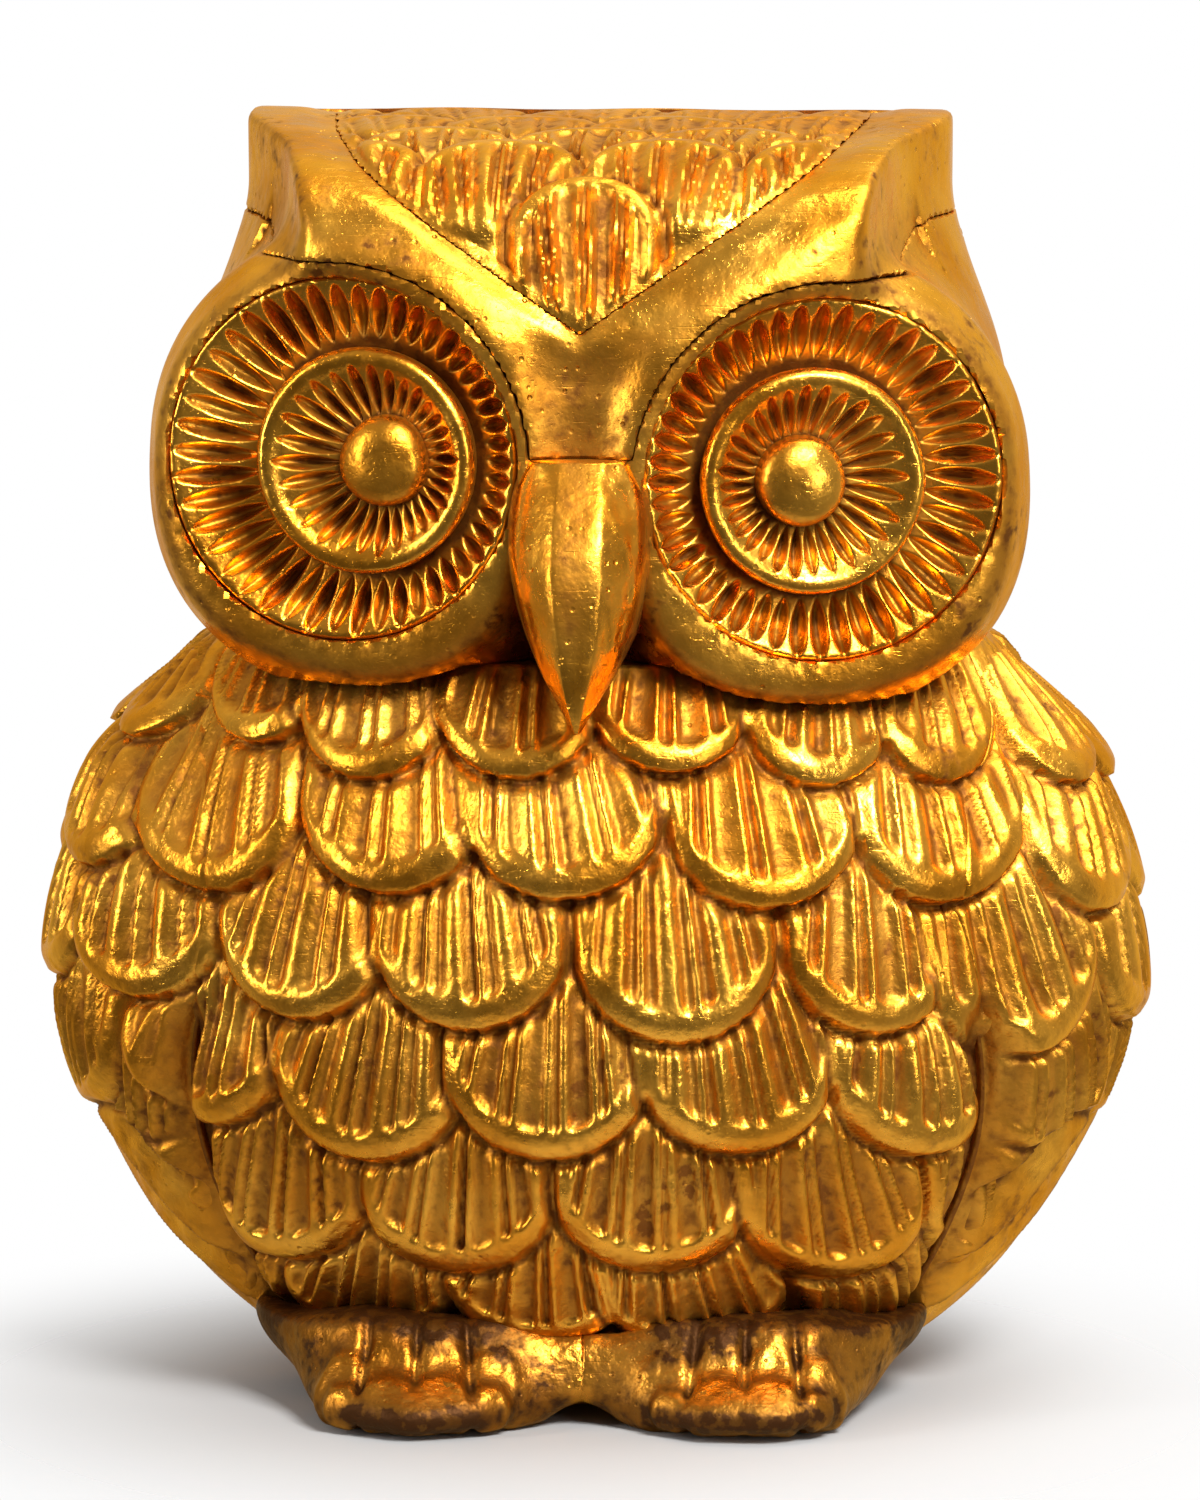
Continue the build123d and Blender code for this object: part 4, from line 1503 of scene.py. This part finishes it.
def build_flute_tree() -> bpy.types.NodeTree:
    """Geometry Nodes that gouge leaf-shaped flutes round a disc that faces +Z, and paint shade into the well
    at its inner radius.

    Returns:
        The tree. Its inputs are in millimetres, but the geometry that it works on is in metres.
    """
    tree = bpy.data.node_groups.new("radial flutes", "GeometryNodeTree")
    tree.interface.new_socket(name="Geometry", in_out="INPUT", socket_type="NodeSocketGeometry")
    for label in ("Flutes", "Inner Radius", "Outer Radius", "Shift", "Depth", "Irregularity", "Seed"):
        tree.interface.new_socket(name=label, in_out="INPUT", socket_type="NodeSocketFloat")
    tree.interface.new_socket(name="Material", in_out="INPUT", socket_type="NodeSocketMaterial")
    tree.interface.new_socket(name="Geometry", in_out="OUTPUT", socket_type="NodeSocketGeometry")
    start, end = tree.nodes.new("NodeGroupInput"), tree.nodes.new("NodeGroupOutput")
    given = {socket.name: Wire(tree, socket) for socket in start.outputs if socket.name}
    position = tree.nodes.new("GeometryNodeInputPosition")
    parts = tree.nodes.new("ShaderNodeSeparateXYZ")
    tree.links.new(position.outputs[0], parts.inputs[0])
    x, y = (Wire(tree, parts.outputs[k]) / MM for k in range(2))
    from_rim = given["Outer Radius"] - (x * x + y * y).math("SQRT")
    x = x - given["Shift"]
    radius = (x * x + y * y).math("SQRT")
    count = (y.math("ARCTAN2", x) / (2 * math.pi) + 0.5) * given["Flutes"] + radius * 0.05
    number = count.math("FLOOR")
    noise = tree.nodes.new("ShaderNodeTexWhiteNoise")
    noise.noise_dimensions = "2D"
    pair = tree.nodes.new("ShaderNodeCombineXYZ")
    number.math("MODULO", given["Flutes"]).feed(pair.inputs[0])
    given["Seed"].feed(pair.inputs[1])
    tree.links.new(pair.outputs[0], noise.inputs["Vector"])
    chance = Wire(tree, noise.outputs["Value"]) * given["Irregularity"]
    from_middle = (count - number) * 2.0 - 1.0
    climbed = (radius - given["Inner Radius"]).math("MAXIMUM", 0.0)
    share = climbed / (climbed + (from_rim - chance).math("MAXIMUM", 0.0) + 0.0001)
    leaf = (share.clamp() * math.pi).math("SINE").math("POWER", 0.6).math("MAXIMUM", 0.001)
    across = from_middle / leaf
    gouge = across.math("ABSOLUTE").ramp(1.0, 0.12)
    gouge = gouge * leaf.math("MINIMUM", 1.0) * (Wire(tree, 1.15) - chance)
    facing = tree.nodes.new("GeometryNodeInputNormal")
    facing_parts = tree.nodes.new("ShaderNodeSeparateXYZ")
    tree.links.new(facing.outputs[0], facing_parts.inputs[0])
    gouge = gouge * Wire(tree, facing_parts.outputs[2]).ramp(0.3, 0.6)
    # Painted shade: the surface is darkened close round the inner radius, where the raised disc or pupil
    # stands over it.
    painted_well_shade = (radius - given["Inner Radius"]).ramp(0.8, -0.6) * 0.95
    offset = tree.nodes.new("ShaderNodeCombineXYZ")
    (gouge * given["Depth"] * -MM).feed(offset.inputs[2])
    cut = tree.nodes.new("GeometryNodeSetPosition")
    tree.links.new(start.outputs["Geometry"], cut.inputs["Geometry"])
    tree.links.new(offset.outputs[0], cut.inputs["Offset"])
    stored = tree.nodes.new("GeometryNodeInputNamedAttribute")
    stored.data_type = "FLOAT"
    stored.inputs["Name"].default_value = "hollow"
    store = tree.nodes.new("GeometryNodeStoreNamedAttribute")
    store.data_type = "FLOAT"
    store.inputs["Name"].default_value = "hollow"
    tree.links.new(cut.outputs["Geometry"], store.inputs["Geometry"])
    (Wire(tree, stored.outputs[0]) + gouge * gouge * 0.85 + painted_well_shade).clamp().feed(store.inputs["Value"])
    real = tree.nodes.new("GeometryNodeRealizeInstances")
    dress = tree.nodes.new("GeometryNodeSetMaterial")
    tree.links.new(store.outputs["Geometry"], real.inputs["Geometry"])
    tree.links.new(real.outputs["Geometry"], dress.inputs["Geometry"])
    tree.links.new(start.outputs["Material"], dress.inputs["Material"])
    tree.links.new(dress.outputs["Geometry"], end.inputs["Geometry"])
    return tree


def run_tree(piece: bpy.types.Object, tree: bpy.types.NodeTree, values: dict[str, object]) -> None:
    """Runs a Geometry Nodes tree on a piece and keeps the result as its plain mesh.

    Args:
        piece: The object to work on.
        tree: The tree.
        values: The tree's inputs by name.
    """
    modifier = piece.modifiers.new("nodes", "NODES")
    modifier.node_group = tree
    for item in tree.interface.items_tree:
        if item.in_out == "INPUT" and item.name in values:
            modifier[item.identifier] = values[item.name]
    evaluated = piece.evaluated_get(bpy.context.evaluated_depsgraph_get())
    mesh = bpy.data.meshes.new_from_object(evaluated)
    piece.modifiers.remove(modifier)
    piece.data = mesh


def turned(
    name: str, path: Array, hollow: Array, segments: int, wobble: float, seed: int
) -> bpy.types.Object:
    """Turns a profile about +Z into a closed solid.

    Args:
        name: The piece's name.
        path: Radius and height along the profile, from the axis round to the axis.
        hollow: How sheltered each point of the profile is.
        segments: Steps round the axis.
        wobble: How uneven the turned surface is, in millimetres.
        seed: Chooses the unevenness.

    Returns:
        The object.
    """
    angles = np.linspace(0, 2 * math.pi, segments, endpoint=False)
    radius, height = path[1:-1, 0], path[1:-1, 1]
    ring = np.stack([np.cos(angles), np.sin(angles)], axis=-1)
    levels = np.broadcast_to(height, (segments, len(radius)))
    points = np.concatenate([ring[:, None, :] * radius[None, :, None], levels[..., None]], axis=-1)
    points = points + wobble * lumps(points, 3.0, seed)[..., None] * np.array([0.6, 0.6, 1.0])
    number = np.arange(segments * len(radius)).reshape(segments, len(radius))
    after = np.roll(number, -1, axis=0)
    quads = np.stack([number[:, :-1], after[:, :-1], after[:, 1:], number[:, 1:]], axis=-1).reshape(-1, 4)
    top, bottom = number.size, number.size + 1
    upper_cap = np.stack([np.full(segments, top), after[:, 0], number[:, 0], number[:, 0]], axis=-1)
    lower_cap = np.stack([np.full(segments, bottom), number[:, -1], after[:, -1], after[:, -1]], axis=-1)
    faces = np.concatenate([quads, upper_cap, lower_cap])
    points = np.concatenate([points.reshape(-1, 3), [[0, 0, path[0, 1]]], [[0, 0, path[-1, 1]]]])
    if enclosed_volume(points, faces) < 0:
        faces = turn_over(faces)
    shade = np.concatenate([np.tile(hollow[1:-1], segments), [hollow[0], hollow[-1]]])
    return make_piece(name, points, faces, shade)


def dense_path(knots: Sequence[tuple[float, float, float]], step: float) -> tuple[Array, Array]:
    """Divides a profile into short steps.

    Args:
        knots: The profile's radius, height and shelter at each corner.
        step: The length of a step.

    Returns:
        The radius and height of each point, and its shelter.
    """
    rows = [np.array(knots[0], float)]
    for start, end in zip(knots[:-1], knots[1:]):
        start, end = np.array(start, float), np.array(end, float)
        count = max(1, int(np.hypot(*(end - start)[:2]) / step))
        rows.extend(start + (end - start) * k / count for k in range(1, count + 1))
    table = np.array(rows)
    return table[:, :2], table[:, 2]


@dataclass
class Eye:
    """One eye: fluted surround, fluted disc and the pupil that is a rivet's head."""

    workshop: Workshop
    mount: EyeMount
    flute_tree: bpy.types.NodeTree
    dish: float = 1.7

    def __post_init__(self) -> None:
        """Reads the sizes of disc and pupil from the frame."""
        word = self.mount.side.word
        low, high = node_box(f"eye_disc_{word}")
        self.disc_radius = (high[2] - low[2]) / 2
        low, high = node_box(f"pupil_rivet_{word}")
        self.pupil_radius = (high[2] - low[2]) / 2
        self.disc_shift = self.mount.inward(f"eye_disc_{word}")
        self.pupil_shift = self.mount.inward(f"pupil_rivet_{word}")
        self.seed = 40 + self.mount.side.value

    def _finish(self, piece: bpy.types.Object, node: str, shift: float) -> None:
        """Moves a piece made about +Z into the drum, shift to one side, and fits it."""
        piece.data.transform(self.mount.place(shift))
        self.workshop.fit(piece, node)

    def _surround(self) -> None:
        """Builds the dished outer ring with its leaf-shaped flutes."""
        word, outer, thick = self.mount.side.word, self.mount.radius, self.mount.thickness
        seat = self.disc_radius - 2.4
        floor = -self.dish
        knots = [(0, floor - 0.8, 1), (seat, floor - 0.7, 0.6), (seat + 2.0, floor - 0.1, 0.2)]
        knots += [(outer - 1.8, -0.7, 0.1), (outer - 0.9, -0.25, 0.05), (outer - 0.5, -0.05, 0)]
        knots += [(outer - 0.25, 0.0, 0.1), (outer - 0.04, -0.25, 0.5), (outer - 0.06, -thick, 1)]
        knots += [(0, -thick, 1)]
        piece = turned(f"eye_ring_{word}", *dense_path(knots, 0.17), 560, 0.06, self.seed)
        values = {
            "Flutes": 46.0,
            "Inner Radius": self.disc_radius + 0.5,
            "Outer Radius": outer - 0.1,
            "Shift": self.disc_shift,
            "Depth": 1.05,
            "Irregularity": 0.45,
            "Seed": float(self.seed),
            "Material": self.workshop.material_for(f"eye_surround_{word}"),
        }
        run_tree(piece, self.flute_tree, values)
        self._finish(piece, f"eye_surround_{word}", 0.0)

    def _disc(self) -> None:
        """Builds the inner disc: a raised rim round a fluted hollow."""
        word, outer = self.mount.side.word, self.disc_radius
        base, rim = -self.dish - 0.5, 1.15
        knots = [(0, -0.2, 0.9), (self.pupil_radius - 1.0, -0.15, 0.7), (self.pupil_radius + 0.5, 0.0, 0.4)]
        knots += [(outer - 1.6, 0.72, 0.1), (outer - 1.05, 1.05, 0), (outer - 0.7, rim, 0)]
        knots += [(outer - 0.4, rim - 0.05, 0), (outer - 0.12, rim - 0.3, 0), (outer, rim - 0.7, 0.2)]
        knots += [(outer - 0.1, -0.4, 0.6), (outer - 0.7, base, 1), (0, base, 1)]
        piece = turned(f"eye_plate_{word}", *dense_path(knots, 0.15), 420, 0.05, self.seed + 5)
        values = {
            "Flutes": 30.0,
            "Inner Radius": self.pupil_radius + 0.1,
            "Outer Radius": outer - 1.0,
            "Shift": self.pupil_shift - self.disc_shift,
            "Depth": 0.8,
            "Irregularity": 0.4,
            "Seed": float(self.seed + 2),
            "Material": self.workshop.material_for(f"eye_disc_{word}"),
        }
        run_tree(piece, self.flute_tree, values)
        self._finish(piece, f"eye_disc_{word}", self.disc_shift)

    def _pupil(self) -> None:
        """Builds the pupil: a domed, slightly hammered stud and its shank."""
        word, outer = self.mount.side.word, self.pupil_radius
        back = -self.mount.thickness - 1.2
        slants = [k * math.pi / 16 for k in range(9)]
        dome = [(outer * math.sin(slant), 0.95 + 1.55 * math.cos(slant), 0.2) for slant in slants]
        knots = [*dome, (outer + 0.02, 0.3, 0.4), (outer + 0.1, -0.05, 1), (1.5, -0.1, 1),
                 (1.5, back + 1.2, 1),
                 (2.6, back + 1.15, 1), (1.9, back, 1), (0, back, 1)]
        piece = turned(f"pupil_stud_{word}", *dense_path(knots, 0.16), 128, 0.13, self.seed + 9)
        self._finish(piece, f"pupil_rivet_{word}", self.pupil_shift)

    def build(self) -> None:
        """Builds the eye's three pieces."""
        self._surround()
        self._disc()
        self._pupil()


# --- Beak and feet ---------------------------------------------------------------------------------


@dataclass
class Beak:
    """A keeled kite: two smooth flanks that meet in a ridge, with a blunt tip."""

    workshop: Workshop
    rows: int = 120
    columns: int = 80

    def build(self) -> None:
        """Builds the beak as one closed shell."""
        low, high = node_box("beak")
        top, tip, front = high[2], low[2], low[1]
        height = top - tip
        levels = np.linspace(0, 1, self.rows + 1)
        widths = [(0, 3.6), (0.10, 4.5), (0.25, 4.9), (0.42, 4.8), (0.62, 3.9), (0.80, 2.5)]
        widths += [(0.93, 1.15), (1, 0.35)]
        ridges = [(0, 4.0), (0.12, 2.4), (0.3, 0.8), (0.5, 0.0), (0.72, 0.1), (0.9, 0.8), (1, 1.6)]
        section = [(0, 1.0), (0.3, 0.99), (0.5, 0.93), (0.72, 0.82), (0.86, 0.62), (1, 0)]
        widths, ridges, section = (smooth_curve(knots, closed=False) for knots in (widths, ridges, section))
        half = np.interp(levels, *widths.T)
        ridge = front + np.interp(levels, *ridges.T)
        root = front + 8.4
        share, level = np.meshgrid(np.linspace(-1, 1, self.columns + 1), levels, indexing="ij")
        side = np.abs(share)
        bulge = np.interp(side, *section.T)
        x = share * np.interp(level, levels, half)
        y = root + (np.interp(level, levels, ridge) - root) * bulge
        points = np.stack([x, y, top - level * height], axis=-1)
        facets = 0.9 * np.abs(share + 0.30) + 0.8 * np.abs(share - 0.36) - 0.5
        points[..., 1] += facets * ramp(0.98, 0.7, side) * ramp(0, 0.1, level) * ramp(1, 0.85, level)
        points = points + 0.12 * lumps(points, 4.5, 61)[..., None] * np.array([0.5, 1, 0])
        points[..., 1] += 0.09 * lumps(points, 0.9, 62) * ramp(0.3, 0.55, share)
        inner = points[::4, ::4].copy()
        inner[..., 0] *= 0.9
        inner[..., 1] = root + 1.2
        vertices, faces = shell(points, inner, 4)
        # Painted reflection: the middle facet is darkened as if it mirrored the dark room in front; the
        # flanks' outer edges are darker too.
        painted_dark_reflection = 0.6 * np.exp(-(((share + 0.05) / 0.30) ** 2)) * ramp(0.8, 0.6, level)
        dark = np.maximum(ramp(0.84, 0.97, side) * 0.85, painted_dark_reflection)
        piece = make_piece("beak_form", vertices, faces, with_dark_back(dark, inner))
        self.workshop.fit(piece, "beak")


@dataclass
class Foot:
    """A stubby foot: round toes parted by three clefts, with wrinkles over the knuckles."""

    workshop: Workshop
    side: Side

    def __post_init__(self) -> None:
        """Reads the foot's place from the frame."""
        low, high = node_box(f"foot_{self.side.word}")
        self.low, self.high = low, high
        self.body = body_egg()
        self.middle = (low[0] + high[0]) / 2

    def form(self, points: Array) -> Array:
        """Signed distance to the foot.

        Args:
            points: The points.

        Returns:
            The distance at each point, negative inside.
        """
        x, y, z = points[..., 0], points[..., 1], points[..., 2]
        hand, front, half = self.side.value, self.low[1] + 2.4, (self.high[0] - self.low[0]) / 2
        aside = x - self.middle
        depth = -19.0 - front
        plan = (np.abs(aside / half) ** 2.1 + np.abs((y + 19.0) / depth) ** 2.1) ** (1 / 2.1)
        top = 2.4 + 0.36 * np.clip(y - front, 0, 9) - 0.05 * aside**2 * 0.35
        pad = blend_max(blend_max((plan - 1) * half * 0.8, z - top, 2.6), -z, 3.0)
        arch = 5.2 - np.hypot(x, z + 3.6)
        web_front = -22.9 + 0.07 * (z - 2.0) ** 2
        web = blend_max(web_front - y, blend_max(z - 6.3, hand * x - 15.0, 2.0), 1.2)
        web = blend_max(web, arch, 1.5)
        flow = Egg(11.4, 11.6, 6.2, 6.2, 6.2).distance(points - np.array([hand * 11.2, -10.6, 0.0]))
        foot = blend_min(blend_min(pad, web, 3.2), blend_max(flow, z - 6.3, 1.0), 3.2)
        grooves = np.full(x.shape, 9.0)
        for n in (-1, 0, 1):
            grooves = np.minimum(grooves, np.abs(aside - n * 3.7 + 0.12 * n * (y - front - 3)))
        grooved = ramp(2.2, 3.6, y - front) * ramp(9.0, 6.5, y - front)
        foot += 0.45 * np.exp(-((grooves / 0.42) ** 2)) * grooved
        for k in range(2):
            bow = y - front - 3.2 - 2.0 * k - 0.16 * ((aside + 1.85) % 3.7 - 1.85) ** 2
            foot -= 0.22 * np.exp(-((bow / 0.6) ** 2)) * ramp(half, half - 2.0, np.abs(aside))
        foot = blend_max(foot, 0.02 - z, 0.6)
        foot = np.maximum(foot, -0.05 - hand * x)
        foot = np.maximum(foot, 0.10 - self.body.distance(points))
        foot = np.maximum(foot, y - 2.0)
        return foot + 0.10 * lumps(points, 3.0, 70)

    def build(self) -> None:
        """Builds the foot and its tab."""
        edges = sorted((-0.6 * self.side.value, self.side.value * 25.0))
        low = np.array([edges[0], self.low[1] - 0.5, -0.2])
        high = np.array([edges[1], 2.5, 7.0])
        points, faces = carve(self.form, low, high, 0.25)
        points[:, 2] = np.maximum(points[:, 2], 0.0)
        # Painted shadow: the foot is darkened near the body's hem, where the lowest feathers overhang it,
        # less so near the middle.
        painted_hem_shadow = ramp(5.5, 2.2, self.body.distance(points) + 0.8 * lumps(points, 2.5, 71))
        painted_hem_shadow *= 0.35 + 0.65 * ramp(2.0, 6.0, np.abs(points[:, 0]))
        creased = 0.15 + sheltered(self.form, points, 1.2) * ramp(0.3, 1.0, np.abs(points[:, 0]))
        hollow = np.maximum(creased, painted_hem_shadow)
        name = f"foot_form_{self.side.word}"
        self.workshop.fit(make_piece(name, points, faces, hollow), f"foot_{self.side.word}")


# --- Studio ----------------------------------------------------------------------------------------


@dataclass
class Studio:
    """A pale floor, a white surround, soft lights and the camera. Lengths are in metres."""

    azimuth: float = 3.0
    elevation: float = 8.0
    distance: float = 0.60
    lens: float = 212.6
    aim: tuple[float, float, float] = (0.0, 0.0, 0.0419)
    light_aim: tuple[float, float, float] = (0.0, 0.0, 0.045)

    def camera(self) -> None:
        """Sets up the camera."""
        data = bpy.data.cameras.new("camera")
        data.lens = self.lens
        data.clip_start = 0.05
        turn, rise = math.radians(self.azimuth), math.radians(self.elevation)
        back = Vector((math.sin(turn) * math.cos(rise), -math.cos(turn) * math.cos(rise), math.sin(rise)))
        camera = bpy.data.objects.new("camera", data)
        camera.location = Vector(self.aim) + back * self.distance
        camera.rotation_euler = (-back).to_track_quat("-Z", "Y").to_euler()
        bpy.context.scene.collection.objects.link(camera)
        bpy.context.scene.camera = camera

    def light(self, name: str, place: tuple, size: tuple, power: float) -> None:
        """Adds a soft box that faces the owl.

        Args:
            name: The light's name.
            place: Where it stands.
            size: Its width and height.
            power: Its power in watts.
        """
        data = bpy.data.lights.new(name, "AREA")
        data.shape = "RECTANGLE"
        data.size, data.size_y = size
        data.energy = power
        lamp = bpy.data.objects.new(name, data)
        lamp.location = place
        aim = Vector(self.light_aim) - Vector(place)
        lamp.rotation_euler = aim.to_track_quat("-Z", "Y").to_euler()
        bpy.context.scene.collection.objects.link(lamp)

    def surround(self) -> None:
        """White all round for the eye, but darker in front for what the metal mirrors."""
        world = bpy.data.worlds.new("white room")
        world.use_nodes = True
        tree = world.node_tree
        tree.nodes.clear()
        place = tree.nodes.new("ShaderNodeTexCoord")
        parts = tree.nodes.new("ShaderNodeSeparateXYZ")
        tree.links.new(place.outputs["Generated"], parts.inputs[0])
        x, y, z = (Wire(tree, parts.outputs[k]) for k in range(3))
        strength = y.ramp(-0.3, 0.8) * 0.55 + z.ramp(0.2, 0.9) * 0.25 + x.ramp(-0.2, 0.9) * 0.12 + 0.11
        mirrored = tree.nodes.new("ShaderNodeBackground")
        strength.feed(mirrored.inputs["Strength"])
        mirrored.inputs["Color"].default_value = (1.0, 0.96, 0.90, 1.0)
        seen = tree.nodes.new("ShaderNodeBackground")
        seen.inputs["Color"].default_value = (1, 1, 1, 1)
        seen.inputs["Strength"].default_value = 1.0
        rays = tree.nodes.new("ShaderNodeLightPath")
        pick = tree.nodes.new("ShaderNodeMixShader")
        end = tree.nodes.new("ShaderNodeOutputWorld")
        tree.links.new(rays.outputs["Is Camera Ray"], pick.inputs["Fac"])
        tree.links.new(mirrored.outputs[0], pick.inputs[1])
        tree.links.new(seen.outputs[0], pick.inputs[2])
        tree.links.new(pick.outputs[0], end.inputs["Surface"])
        bpy.context.scene.world = world

    def floor(self) -> None:
        """Lays a pale floor under the owl. It fades out away from the owl into the white surround, so its
        grey shows as a painted soft shadow round the base, on top of the shadows that the lights cast.
        """
        corners = np.array([[-900, -600, 0], [900, -600, 0], [900, 1500, 0], [-900, 1500, 0]], float)
        floor = make_piece("studio_floor", corners, np.array([[0, 1, 2, 3]]))
        material = bpy.data.materials.new("pale floor")
        material.use_nodes = True
        tree = material.node_tree
        shader = next(node for node in tree.nodes if node.type == "BSDF_PRINCIPLED")
        shader.inputs["Base Color"].default_value = (0.42, 0.42, 0.42, 1)
        shader.inputs["Roughness"].default_value = 0.8
        place = tree.nodes.new("ShaderNodeTexCoord")
        length = tree.nodes.new("ShaderNodeVectorMath")
        length.operation = "DISTANCE"
        length.inputs[1].default_value = (0, -0.012, 0)
        tree.links.new(place.outputs["Object"], length.inputs[0])
        # Painted shadow: the floor is opaque only near the owl, so its grey shows as a soft pool round the
        # base and fades to white further out.
        Wire(tree, length.outputs["Value"]).ramp(0.060, 0.018).feed(shader.inputs["Alpha"])
        floor.data.materials.append(material)

    def build(self) -> None:
        """Builds the whole studio."""
        self.camera()
        self.surround()
        self.floor()
        self.light("key", (0.20, -0.34, 0.40), (0.18, 0.18), 4.5)
        self.light("top", (0.13, 0.06, 0.45), (0.26, 0.24), 1.3)
        self.light("left strip", (-0.42, -0.20, 0.16), (0.06, 0.30), 1.0)
        self.light("right box", (0.40, -0.42, 0.10), (0.10, 0.20), 0.5)
        bpy.context.scene.view_settings.view_transform = "Standard"


def main() -> None:
    """Builds every sub-assembly in turn, then the studio."""
    logging.basicConfig(level=logging.INFO, format="%(name)s: %(message)s")
    workshop = Workshop()
    Body(workshop).build()
    head = Head(workshop)
    head.build()
    flute_tree = build_flute_tree()
    for side in Side:
        Eye(workshop, head.form.eyes[side], flute_tree).build()
        Foot(workshop, side).build()
    Beak(workshop).build()
    workshop.dress_node("base_plate")
    Studio().build()


if __name__ == "__main__":
    main()
